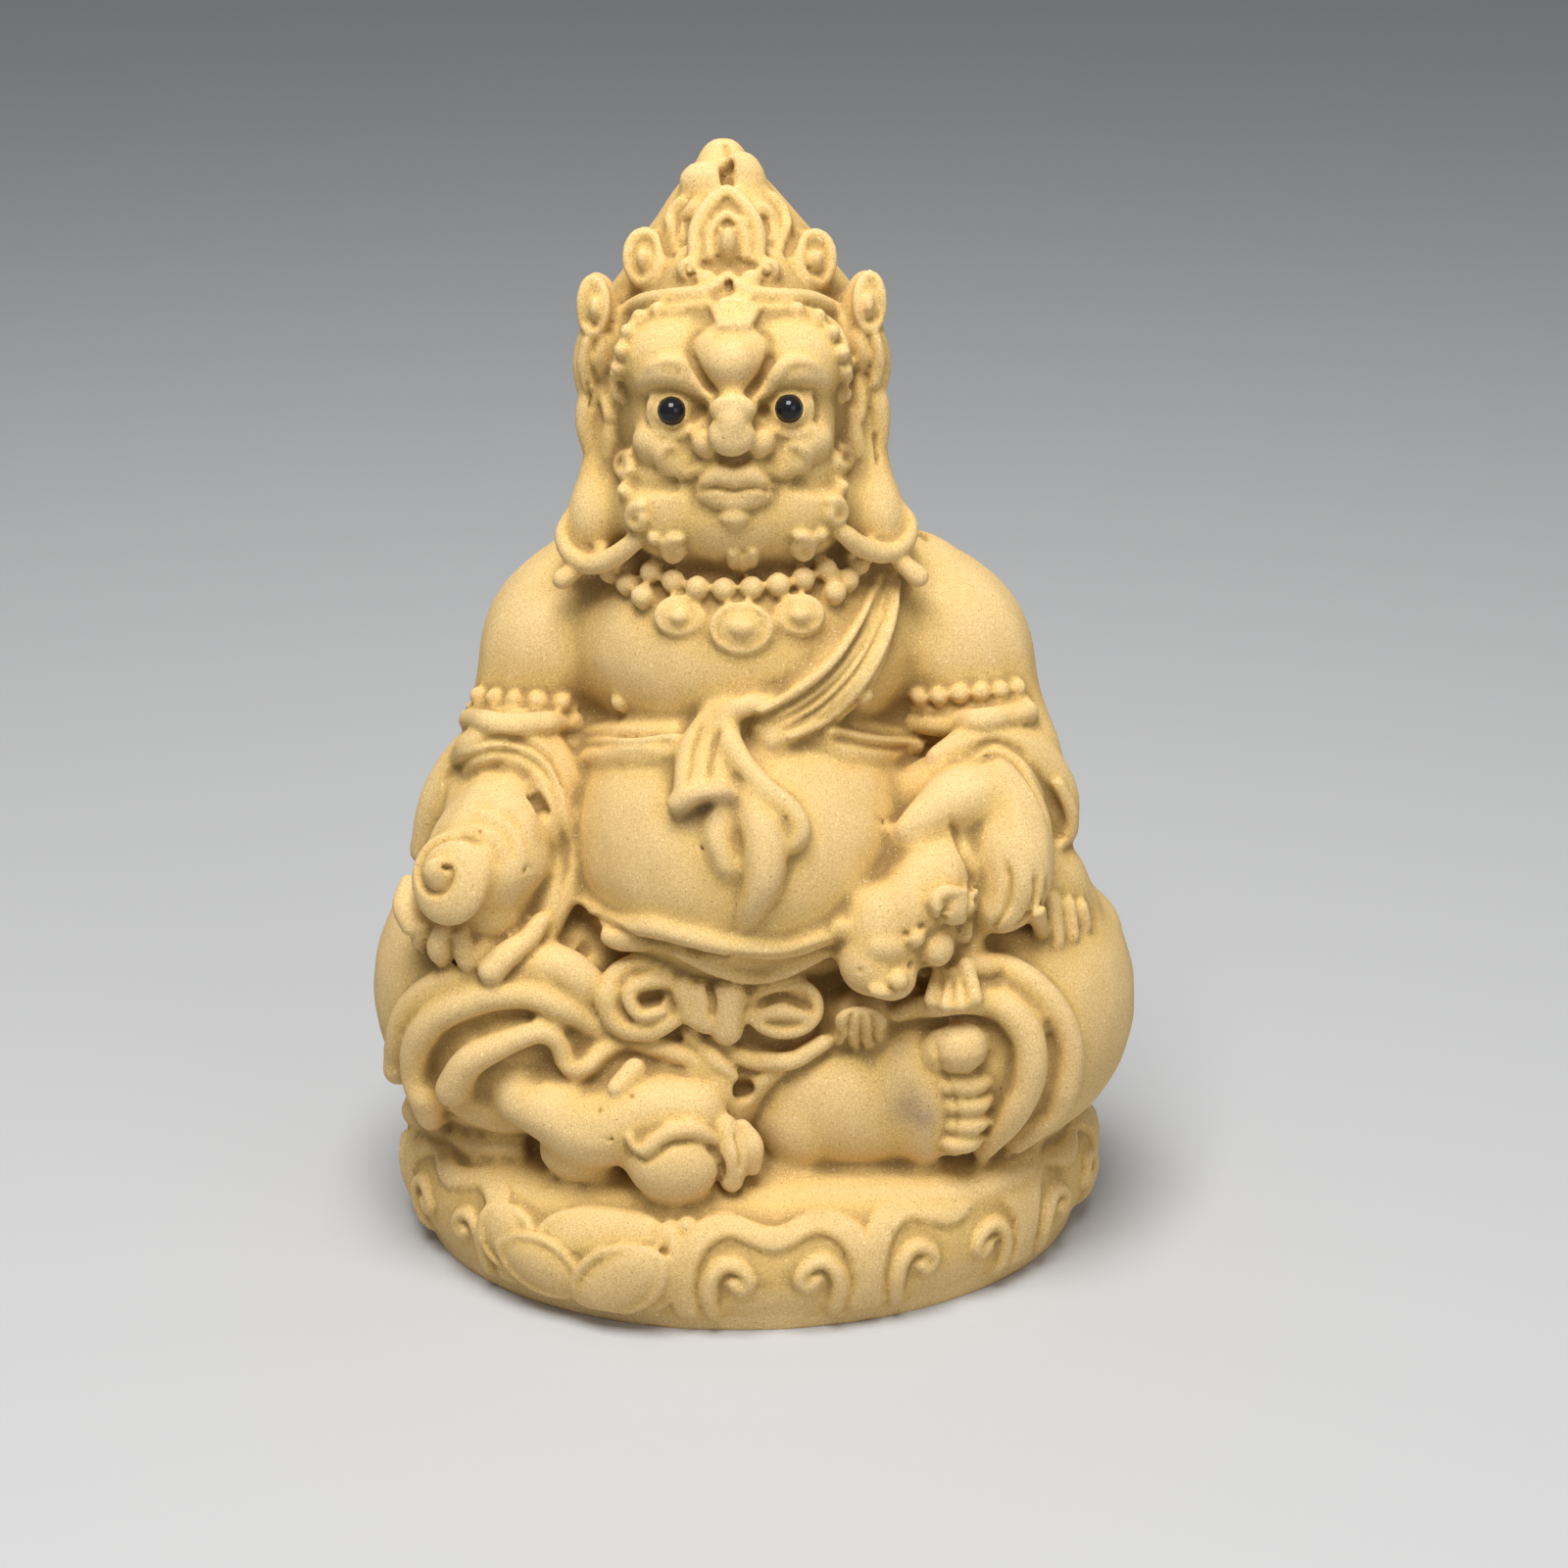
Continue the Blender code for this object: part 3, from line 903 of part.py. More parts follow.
def bead_place(eyeball):
    """The bead sits in the front of the clay eyeball and looks along the sight line."""
    towards = (EYE_POINT - eyeball).normalized()
    bead_radius = EYE_BEAD_DIAMETER / 2.0 / MODULE
    return to_metres(eyeball + towards * (EYEBALL_RADIUS - BEAD_SUNK * bead_radius))


def add_material(item, name, colour, roughness, shine=0.5):
    material = bpy.data.materials.new(name)
    material.use_nodes = True
    shader = material.node_tree.nodes["Principled BSDF"]
    shader.inputs["Base Color"].default_value = colour
    shader.inputs["Roughness"].default_value = roughness
    shader.inputs["Metallic"].default_value = 0.0
    shader.inputs["Specular IOR Level"].default_value = shine
    item.data.materials.append(material)


def model_figure():
    """The whole sculpture in modules, and the centres of its two clay eyeballs."""
    clay = Clay()
    block_in_body(clay)
    block_in_face(clay)
    clay.solid(turned_base())
    body = clay.fuse("body", BLOCK_VOXEL, 0.5, 8)
    limbs = Clay()
    block_in_limbs(limbs)
    limbs.solid(body)
    blocked = limbs.fuse("block_in", LIMB_VOXEL, 0.5, 4)
    cloth = Clay()
    lay_drapery(cloth, Skin(blocked))
    cloth.solid(blocked)
    dressed = cloth.fuse("dressed", CLOTH_VOXEL, 0.5, 3)
    press_hollows(Skin(dressed))
    skin = Skin(dressed)
    eyeballs = [eye_centre(skin, spot) for spot in EYE_SPOTS]
    detail = Clay()
    lay_detail(detail, skin)
    detail.solid(dressed)
    detailed = detail.fuse("detailed", DETAIL_VOXEL, 0.5, 1)
    print("skin points", len(blocked.vertices), len(dressed.vertices), len(detailed.vertices))
    return detailed, eyeballs


def main():
    clear_scene()
    sculpture, eyeballs = model_figure()
    solid = thinned(sculpture, FIGURE_TRIANGLES)
    cut_flat(solid)
    scale_to_metres(solid)
    statue = new_collection("jambhala_statue")
    cutters = new_collection("cutters")
    figure = bpy.data.objects.new("figure", solid)
    statue.objects.link(figure)
    add_material(figure, "clay", (0.62, 0.43, 0.17, 1.0), 0.85, 0.2)
    for name, eyeball in zip(("left_eye", "right_eye"), eyeballs):
        centre = bead_place(eyeball)
        cut_socket(figure, name + "_socket", centre, cutters)
        bead = ball_object(name + "_bead", centre, EYE_BEAD_DIAMETER, statue, 16, 12)
        add_material(bead, "eye_glass", (0.008, 0.008, 0.010, 1.0), 0.08)
        for face in bead.data.polygons:
            face.use_smooth = True
    for face in solid.polygons:
        face.use_smooth = True


main()
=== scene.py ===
import math

import bmesh
import bpy
import numpy as np
from mathutils import Euler, Matrix, Vector
from mathutils.bvhtree import BVHTree


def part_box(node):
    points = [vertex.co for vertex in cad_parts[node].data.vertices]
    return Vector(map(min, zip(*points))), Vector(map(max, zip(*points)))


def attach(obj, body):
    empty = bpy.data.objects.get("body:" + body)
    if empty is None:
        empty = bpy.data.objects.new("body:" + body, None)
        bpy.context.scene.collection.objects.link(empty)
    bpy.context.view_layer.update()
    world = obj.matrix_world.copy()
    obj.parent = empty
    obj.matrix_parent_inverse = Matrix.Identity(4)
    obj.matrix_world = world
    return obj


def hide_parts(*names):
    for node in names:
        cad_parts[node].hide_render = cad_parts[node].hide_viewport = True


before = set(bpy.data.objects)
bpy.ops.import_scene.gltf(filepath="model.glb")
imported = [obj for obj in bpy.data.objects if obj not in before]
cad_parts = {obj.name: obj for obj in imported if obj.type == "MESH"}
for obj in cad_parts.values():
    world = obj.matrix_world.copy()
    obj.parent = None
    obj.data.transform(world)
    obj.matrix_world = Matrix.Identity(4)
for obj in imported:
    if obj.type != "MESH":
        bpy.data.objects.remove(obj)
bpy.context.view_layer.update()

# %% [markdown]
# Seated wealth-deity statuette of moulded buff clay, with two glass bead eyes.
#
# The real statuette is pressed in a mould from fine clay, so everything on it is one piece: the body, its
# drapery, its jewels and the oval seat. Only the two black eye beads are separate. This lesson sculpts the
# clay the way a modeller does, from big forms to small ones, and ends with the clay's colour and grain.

# %% [markdown]
# A few driving sizes set everything. The sculpting happens in modules, where one module is 1/80.5 of the
# figure above its seat, because the pose and the carving of a figure keep their proportions at any size.

# %% Driving sizes in metres, and the module
FIGURE_HEIGHT = 0.090
BASE_HEIGHT = 0.0095
BASE_WIDTH = 0.0588
BASE_DEPTH = 0.0478
FOOT_RIM_HEIGHT = 0.0012
FOOT_RIM_INSET = 0.0014
EYE_BEAD_DIAMETER = 0.0020
EYEBALL_RADIUS = 1.65
CLOUD_COUNT = 11
CLOUD_START = 0.4
LEAF_PLACES = (10,)
SEAT_LEVEL = 9.5
SCULPT_HEIGHT = 90.0
MODULE = (FIGURE_HEIGHT - BASE_HEIGHT) / (SCULPT_HEIGHT - SEAT_LEVEL)
UNDERSIDE = SEAT_LEVEL - BASE_HEIGHT / MODULE
HALF_WIDTH = BASE_WIDTH / 2.0 / MODULE
HALF_DEPTH = BASE_DEPTH / 2.0 / MODULE
BASE_TURN = math.radians(4.0)
print("one module is", round(MODULE * 1000.0, 4), "mm")

# %% [markdown]
# A modeller works from a drawing pinned up at arm's length. Here the drawing board is a plane through the
# figure, at right angles to the sight line, and a spot on it is given in modules: across and up. The same
# sight line is the camera's, so a spot on the board and a pixel of the finished picture agree.

# %% The drawing board and the sight line
SIGHT_PITCH = math.radians(21.0)
SIGHT_DISTANCE = 258.0
BOARD_MIDDLE = 38.0
SIGHT_SIDE = 2.8
BOARD_UP = Vector((0.0, math.sin(SIGHT_PITCH), math.cos(SIGHT_PITCH)))
SIGHT_BACK = Vector((0.0, -math.cos(SIGHT_PITCH), math.sin(SIGHT_PITCH)))
EYE_POINT = Vector((SIGHT_SIDE, 0.0, BOARD_MIDDLE)) + SIGHT_BACK * SIGHT_DISTANCE


def at(spot, y):
    """The point at depth y on the sight line through a spot on the drawing board."""
    board = Vector((spot[0], 0.0, BOARD_MIDDLE)) + BOARD_UP * (spot[1] - BOARD_MIDDLE)
    line = board - EYE_POINT
    return EYE_POINT + line * ((y - EYE_POINT.y) / line.y)


def moved(spot, across, up):
    return (spot[0] + across, spot[1] + up)


print("the eye is", round(EYE_POINT.length, 1), "modules from the middle of the underside")

# %% [markdown]
# Curves through a handful of chosen points make the coils and the tool strokes. A Catmull-Rom curve passes
# through every point it is given, which keeps each line of the drapery where it was drawn.

# %% Smooth lines through chosen points

def smooth_run(rows, step=0.35):
    """Rows of numbers joined by a Catmull-Rom curve and read again at an even step."""
    rows = np.array(rows, dtype=float)
    if len(rows) < 3:
        rows = np.array([rows[0], (rows[0] + rows[-1]) / 2.0, rows[-1]])
    before = 2.0 * rows[0] - rows[1]
    after = 2.0 * rows[-1] - rows[-2]
    rows = np.vstack([before, rows, after])
    run = []
    for index in range(1, len(rows) - 2):
        p0, p1, p2, p3 = rows[index - 1:index + 3]
        length = np.linalg.norm((p2 - p1)[:3])
        count = max(2, int(math.ceil(length / step)))
        for part in range(count):
            t = part / count
            curve = (2.0 * p1 + (p2 - p0) * t + (2.0 * p0 - 5.0 * p1 + 4.0 * p2 - p3) * t ** 2
                     + (3.0 * p1 - p0 - 3.0 * p2 + p3) * t ** 3)
            run.append(0.5 * curve)
    run.append(rows[-2])
    return np.array(run)


def fill_radii(radii, count):
    """One radius for each control point, from a single value or a short list spread evenly."""
    if isinstance(radii, (int, float)):
        return [float(radii)] * count
    places = np.linspace(0.0, len(radii) - 1.0, count)
    return list(np.interp(places, range(len(radii)), radii))


print("a line through 3 points is read at", len(smooth_run([(0, 0, 0), (2, 1, 0), (4, 0, 0)])), "places")

# %% [markdown]
# The clay is one watertight surface all round, so the main material is made first. Fine fired clay is matt.
# It is paler where handling has rubbed the raised ornament. Its recesses are darkened towards a deep brown,
# which is painted shade, and all of it has a grain of light and dark specks. The recess value is a vertex
# attribute that is measured on the finished sculpture.

# %% Clay material
SPECK_SCALE = 4200.0
GRAIN_SCALE = 7000.0
MOTTLE_SCALE = 160.0
BLACK = (0.0, 0.0, 0.0)
WHITE = (1.0, 1.0, 1.0)
# The recess colour is painted shade: hollows are darkened in the clay's colour where shade falls
RECESS_PAINTED_SHADE = (0.30, 0.185, 0.06)
CLAY_BODY = (0.70, 0.475, 0.168)
CLAY_RAISED = (0.74, 0.53, 0.245)
MOTTLE_TINT = (0.94, 0.93, 0.90)
GRAIN_TINT = (0.72, 0.66, 0.56)
DARK_SPECK_TINT = (0.55, 0.46, 0.36)
DARK_SPECK_SHARE = 0.7
LIGHT_SPECK = (0.17, 0.16, 0.13)
STAIN_TINT = (0.50, 0.50, 0.66)
CLAY_ROUGHNESS = 0.82
CLAY_SPECULAR = 0.25
GRAIN_STRENGTH = 0.35
GRAIN_DEPTH = 0.00006


def new_material(name):
    """A fresh material, its node tree and its main shader."""
    material = bpy.data.materials.new(name)
    material.use_nodes = True
    return material, material.node_tree, material.node_tree.nodes["Principled BSDF"]


def clay_material():
    material, tree, shader = new_material("buff_clay")
    place = tree.nodes.new("ShaderNodeTexCoord")

    def noise(scale, detail, rough=0.5):
        node = tree.nodes.new("ShaderNodeTexNoise")
        node.inputs["Scale"].default_value = scale
        node.inputs["Detail"].default_value = detail
        node.inputs["Roughness"].default_value = rough
        tree.links.new(place.outputs["Object"], node.inputs["Vector"])
        return node.outputs["Fac"]

    def ramp(value, stops):
        node = tree.nodes.new("ShaderNodeValToRGB")
        for index, (position, colour) in enumerate(stops):
            stop = node.color_ramp.elements[index] if index < 2 else node.color_ramp.elements.new(position)
            stop.position = position
            stop.color = colour + (1.0,)
        tree.links.new(value, node.inputs["Fac"])
        return node.outputs["Color"]

    def mix(kind, factor, first, second):
        node = tree.nodes.new("ShaderNodeMix")
        node.data_type = "RGBA"
        node.blend_type = kind
        if isinstance(factor, float):
            node.inputs["Factor"].default_value = factor
        else:
            tree.links.new(factor, node.inputs["Factor"])
        tree.links.new(first, node.inputs["A"])
        tree.links.new(second, node.inputs["B"])
        return node.outputs["Result"]

    def measured(name):
        node = tree.nodes.new("ShaderNodeAttribute")
        node.attribute_name = name
        return node.outputs["Fac"]

    # Relief sets the colour: hollows are darkened with painted shade, raised parts are rubbed paler
    colour = ramp(measured("relief"), [(0.0, RECESS_PAINTED_SHADE), (0.5, CLAY_BODY), (1.0, CLAY_RAISED)])
    mottle = ramp(noise(MOTTLE_SCALE, 3.0), [(0.35, MOTTLE_TINT), (0.65, WHITE)])
    colour = mix("MULTIPLY", 1.0, colour, mottle)
    fine_grain = ramp(noise(GRAIN_SCALE, 2.0, 0.7), [(0.30, GRAIN_TINT), (0.62, WHITE)])
    colour = mix("MULTIPLY", 1.0, colour, fine_grain)
    dark_specks = ramp(noise(SPECK_SCALE, 1.0), [(0.24, DARK_SPECK_TINT), (0.31, WHITE)])
    colour = mix("MULTIPLY", DARK_SPECK_SHARE, colour, dark_specks)
    light_specks = ramp(noise(SPECK_SCALE * 1.1, 1.0), [(0.66, BLACK), (0.76, LIGHT_SPECK)])
    colour = mix("ADD", 1.0, colour, light_specks)
    stain = ramp(measured("stain"), [(0.0, WHITE), (1.0, STAIN_TINT)])
    colour = mix("MULTIPLY", 1.0, colour, stain)
    tree.links.new(colour, shader.inputs["Base Color"])
    shader.inputs["Roughness"].default_value = CLAY_ROUGHNESS
    shader.inputs["Specular IOR Level"].default_value = CLAY_SPECULAR
    grain = tree.nodes.new("ShaderNodeBump")
    grain.inputs["Strength"].default_value = GRAIN_STRENGTH
    grain.inputs["Distance"].default_value = GRAIN_DEPTH
    tree.links.new(noise(SPECK_SCALE * 0.9, 4.0, 0.6), grain.inputs["Height"])
    tree.links.new(grain.outputs["Normal"], shader.inputs["Normal"])
    return material


buff_clay = clay_material()
print("material", buff_clay.name, "has", len(buff_clay.node_tree.nodes), "nodes")

# %% [markdown]
# Every form starts as a ball or a coil, as it does on the bench. The heap is fused by a voxel remesh, which
# gives one watertight skin of even quads, and a light smoothing rubs the joins in. Closed pockets inside
# the heap are thrown away, because the clay is solid.

# %% The heap of clay
# For each pass: the voxel size in modules, and how many times the skin is rubbed
PASSES = {"body": (0.6, 9), "limbs": (0.45, 4), "dressed": (0.36, 3), "detailed": (0.24, 1)}
RUB_STRENGTH = 0.5
THINNEST_COIL = 0.05


def evaluated_mesh(item):
    graph = bpy.context.evaluated_depsgraph_get()
    graph.update()
    return bpy.data.meshes.new_from_object(item.evaluated_get(graph), depsgraph=graph)


def placed(name, data):
    """A new object in the scene that shows the data."""
    item = bpy.data.objects.new(name, data)
    bpy.context.scene.collection.objects.link(item)
    return item


def taken(item):
    """The item's mesh with its modifiers worked in. The item itself is removed."""
    mesh = evaluated_mesh(item)
    bpy.data.objects.remove(item, do_unlink=True)
    return mesh


def add_run(curve, rows):
    """A straight-sided spline through the rows. A fourth value in a row is the radius there."""
    spline = curve.splines.new("POLY")
    spline.points.add(len(rows) - 1)
    for point, row in zip(spline.points, rows):
        point.co = (row[0], row[1], row[2], 1.0)
        if len(row) > 3:
            point.radius = max(row[3], THINNEST_COIL)


def main_shell(mesh):
    """The mesh without closed pockets or loose crumbs: only its largest connected shell."""
    shape = bmesh.new()
    shape.from_mesh(mesh)
    shape.verts.ensure_lookup_table()
    shell_of = [-1] * len(shape.verts)
    sizes = []
    for start in shape.verts:
        if shell_of[start.index] >= 0:
            continue
        number = len(sizes)
        shell_of[start.index] = number
        queue = [start]
        size = 0
        while queue:
            vertex = queue.pop()
            size += 1
            for edge in vertex.link_edges:
                other = edge.other_vert(vertex)
                if shell_of[other.index] < 0:
                    shell_of[other.index] = number
                    queue.append(other)
        sizes.append(size)
    if len(sizes) > 1:
        largest = sizes.index(max(sizes))
        crumbs = [vertex for vertex in shape.verts if shell_of[vertex.index] != largest]
        bmesh.ops.delete(shape, geom=crumbs, context="VERTS")
        shape.to_mesh(mesh)
    shape.free()
    return mesh


class Clay:
    """A heap of overlapping balls and coils that are later fused into one skin."""

    def __init__(self):
        self.balls = bmesh.new()
        self.coils = bpy.data.curves.new("coils", "CURVE")
        self.coils.dimensions = "3D"
        self.coils.bevel_depth = 1.0
        self.coils.bevel_resolution = 3
        self.coils.use_fill_caps = True
        self.solids = []

    def ball(self, centre, radii, turn=(0.0, 0.0, 0.0), cuts=3):
        if isinstance(radii, (int, float)):
            radii = (radii, radii, radii)
        tilt = Euler([math.radians(angle) for angle in turn])
        place = Matrix.LocRotScale(Vector(centre), tilt, Vector(radii))
        bmesh.ops.create_icosphere(self.balls, subdivisions=cuts, radius=1.0, matrix=place)

    def coil(self, points, radii):
        radii = fill_radii(radii, len(points))
        rows = smooth_run([tuple(point) + (radius,) for point, radius in zip(points, radii)])
        add_run(self.coils, rows)
        for end in (rows[0], rows[-1]):
            self.ball(end[:3], max(end[3], THINNEST_COIL) * 0.99, cuts=2)

    def coil_at(self, rows, radii):
        """A coil through rows of across and up on the drawing board and the depth y."""
        self.coil([at(row[:2], row[2]) for row in rows], radii)

    def coil_on(self, skin, rows, radii):
        """A coil through rows of across and up on the drawing board and the lift off the skin."""
        self.coil([skin.on(row[:2], row[2]) for row in rows], radii)

    def balls_at(self, rows):
        """Balls on the drawing board: across, up, the depth y, the radii and perhaps a turn."""
        for across, up, depth, radii, *turn in rows:
            self.ball(at((across, up), depth), radii, *turn)

    def rolls(self, skin, rows):
        """Coils laid on the skin: the spots, the lift, the radii and perhaps a step."""
        for spots, lift, radii, *step in rows:
            self.coil(skin.lay(spots, lift, *step), radii)

    def solid(self, mesh):
        self.solids.append(mesh)

    def fuse(self, name):
        """Fuse everything into one watertight skin of even quads, then rub it smooth."""
        voxel, rubs = PASSES[name]
        balls = bpy.data.meshes.new("balls")
        self.balls.to_mesh(balls)
        self.balls.free()
        heap = bmesh.new()
        for mesh in [balls, taken(placed("coils", self.coils))] + self.solids:
            heap.from_mesh(mesh)
        joined = bpy.data.meshes.new(name)
        heap.to_mesh(joined)
        heap.free()
        skin = placed(name, joined)
        remesh = skin.modifiers.new("fuse", "REMESH")
        remesh.mode = "VOXEL"
        remesh.voxel_size = voxel
        rub = skin.modifiers.new("rub", "SMOOTH")
        rub.factor = RUB_STRENGTH
        rub.iterations = rubs
        return main_shell(taken(skin))


print("a heap takes balls, coils and ready-made solids")

# %% [markdown]
# Small forms are laid on the skin that is already there. Each spot is cast along the sight line on to the
# skin, so a coil can never float or sink by accident. A tool stroke moves the skin along its own normals.

# %% Laying on the skin, and tool strokes

def points_and_normals(mesh):
    """The mesh's points and their normals, a row of three for each."""
    found = []
    for kind in ("co", "normal"):
        values = np.empty(len(mesh.vertices) * 3)
        mesh.vertices.foreach_get(kind, values)
        found.append(values.reshape(-1, 3))
    return found


def turn_to(side, normal, rise):
    """The turn in degrees that lies a ball's radii along the side, the normal and the rise."""
    facing = Matrix((side, -normal, rise)).transposed().to_euler()
    return [math.degrees(angle) for angle in facing]


class Skin:
    """A fused mesh that strokes, coils and pads can be laid on along the sight line."""

    def __init__(self, mesh):
        self.mesh = mesh
        points = [vertex.co.copy() for vertex in mesh.vertices]
        faces = [tuple(face.vertices) for face in mesh.polygons]
        self.tree = BVHTree.FromPolygons(points, faces)

    def touch(self, spot):
        """The place and the normal where the sight line through a spot meets the skin."""
        board = at(spot, 0.0)
        line = (board - EYE_POINT).normalized()
        place, normal, index, distance = self.tree.ray_cast(EYE_POINT, line)
        if place is None:
            place, normal, index, distance = self.tree.find_nearest(board)
        return place, normal

    def on(self, spot, lift=0.0):
        place, normal = self.touch(spot)
        return place + normal * lift

    def lay(self, spots, lift=0.0, step=1.2):
        """Spots joined by a smooth line on the board, then laid on the skin."""
        return [self.on((row[0], row[1]), lift) for row in smooth_run(spots, step)]

    def behind(self, spots, lift=0.0, step=1.5):
        """Places across and up, joined by a smooth line and laid on the back from behind."""
        run = []
        for across, up in [tuple(row) for row in smooth_run(spots, step)]:
            start = Vector((across, 2.0 * SCULPT_HEIGHT, up))
            place, normal, index, distance = self.tree.ray_cast(start, Vector((0.0, -1.0, 0.0)))
            if place is not None:
                run.append(place + normal * lift)
        return run


def lay_pad(clay, skin, spot, radii, lift=0.0, tilt=0.0, spread=1.5):
    """An oval pad that lies flat on the skin. Its radii are across, thick and up."""
    normals = [skin.touch(moved(spot, spread * across, spread * up))[1]
               for across, up in ((0, 0), (1, 0), (-1, 0), (0, 1), (0, -1))]
    normal = sum(normals, Vector()).normalized()
    upright = (BOARD_UP - normal * BOARD_UP.dot(normal)).normalized()
    across = upright.cross(-normal).normalized()
    lean = math.radians(tilt)
    side = across * math.cos(lean) + upright * math.sin(lean)
    rise = upright * math.cos(lean) - across * math.sin(lean)
    clay.ball(skin.on(spot) + normal * lift, radii, turn=turn_to(side, normal, rise))


def lay_pads(clay, skin, rows):
    """Several pads: the spot, the radii and perhaps the lift, the tilt and the spread of each."""
    for row in rows:
        lay_pad(clay, skin, *row)


class Strokes:
    """Modelling-tool strokes: lines and dabs that press the skin in or raise it."""

    def __init__(self, skin):
        self.skin = skin
        self.marks = []

    def path(self, points, width, height, taper=True):
        rows = smooth_run([tuple(point) for point in points], width * 0.3)
        weights = np.ones(len(rows))
        if taper:
            places = np.linspace(0.0, 1.0, len(rows))
            weights = np.clip(np.minimum(places, 1.0 - places) * 6.0 + 0.25, 0.0, 1.0)
        self.marks.append((rows, weights, width, height))

    def line(self, spots, width, height, taper=True):
        self.path(self.skin.lay(spots, 0.0, 0.5), width, height, taper)

    def lines(self, rows):
        """Several lines: the spots, the width and the height of each."""
        for spots, width, height in rows:
            self.line(spots, width, height)

    def dab(self, spot, width, height):
        centre = self.skin.on(spot)
        self.marks.append((np.array([tuple(centre)]), np.ones(1), width, height))

    def press(self):
        mesh = self.skin.mesh
        places, normals = points_and_normals(mesh)
        moves = np.zeros(len(places))
        for rows, weights, width, height in self.marks:
            low = rows.min(axis=0) - width
            high = rows.max(axis=0) + width
            near = np.nonzero(((places > low) & (places < high)).all(axis=1))[0]
            if len(near) == 0:
                continue
            gaps = np.linalg.norm(places[near][:, None, :] - rows[None, :, :], axis=2)
            best = gaps.argmin(axis=1)
            gap = gaps[np.arange(len(near)), best] / width
            falloff = np.where(gap < 1.0, (1.0 - gap ** 2) ** 2, 0.0)
            moves[near] += falloff * weights[best] * height
        places += normals * moves[:, None]
        mesh.vertices.foreach_set("co", places.ravel())
        mesh.update()


print("a stroke fades out smoothly at its own width")

# %% [markdown]
# The seat is an oval, so it is a turned profile that is drawn out across. Its relief is placed by the
# distance along the wall from the front and by the climb up its section, as on an unrolled strip.

# %% The oval seat
TURN_STEPS = 96


def base_section():
    """The base's side, from the middle of the underside out and up to the seat: inward, up."""
    rim = FOOT_RIM_HEIGHT / MODULE
    inset = FOOT_RIM_INSET / MODULE
    height = SEAT_LEVEL - UNDERSIDE
    return [
        (HALF_WIDTH, -1.0), (inset + 0.4, -1.0), (inset, rim * 0.6), (inset + 0.2, rim),
        (inset + 0.5, rim * 1.2), (0.7, height * 0.24), (0.15, height * 0.42), (0.0, height * 0.6),
        (0.25, height * 0.78), (1.0, height * 0.91), (2.2, height * 0.985), (3.6, height),
        (HALF_WIDTH, height)]


def turned_base():
    """The seat base: a turned profile drawn out to an oval plan."""
    profile = bpy.data.meshes.new("base_profile")
    outline = [(HALF_WIDTH - inward, 0.0, UNDERSIDE + up) for inward, up in base_section()]
    links = [(index, index + 1) for index in range(len(outline) - 1)]
    profile.from_pydata(outline, links, [])
    item = placed("base_profile", profile)
    turn = item.modifiers.new("turn", "SCREW")
    turn.axis = "Z"
    turn.steps = TURN_STEPS
    turn.render_steps = TURN_STEPS
    turn.use_merge_vertices = True
    turn.merge_threshold = 0.0001
    turned = taken(item)
    oval = Matrix.Rotation(BASE_TURN, 4, "Z") @ Matrix.Diagonal((1.0, HALF_DEPTH / HALF_WIDTH, 1.0, 1.0))
    turned.transform(oval)
    return turned


def running_length(first, second):
    """The length of a line up to each of its points, from their two coordinates."""
    return np.concatenate([[0.0], np.cumsum(np.hypot(np.diff(first), np.diff(second)))])


class BaseWall:
    """Places on the base's side, by the distance along it from the front and the climb up its section."""

    def __init__(self):
        self.angles = np.linspace(-1.5 * math.pi, 0.5 * math.pi, 721)
        run = running_length(HALF_WIDTH * np.cos(self.angles), HALF_DEPTH * np.sin(self.angles))
        self.girth = run[-1]
        self.run = run - np.interp(-0.5 * math.pi, self.angles, run)
        self.side = np.array(base_section()[3:])
        self.climb = running_length(self.side[:, 0], self.side[:, 1])

    def at(self, along, climb, lift=0.0):
        half = self.girth / 2.0
        along = (along + half) % self.girth - half
        angle = float(np.interp(along, self.run, self.angles))
        inward = float(np.interp(climb, self.climb, self.side[:, 0])) - lift
        up = float(np.interp(climb, self.climb, self.side[:, 1]))
        reach = HALF_WIDTH - inward
        place = Vector((reach * math.cos(angle), reach * math.sin(angle) * HALF_DEPTH / HALF_WIDTH,
            UNDERSIDE + up))
        return Matrix.Rotation(BASE_TURN, 3, "Z") @ place

    def lay(self, spots, lift=0.0, mirror=1.0, start=0.0):
        rows = smooth_run(spots, 0.8)
        return [self.at(start + mirror * row[0], row[1], lift) for row in rows]


base_wall = BaseWall()
print("the seat's wall is", round(base_wall.girth * MODULE * 1000.0, 1), "mm round")

# %% [markdown]
# The first pass blocks in the big masses: folded legs, belly, chest, shoulders, neck and the tall head with
# its cone of hair. They overlap freely, since the fusing takes care of the joins.

# %% Block-in of the body and face

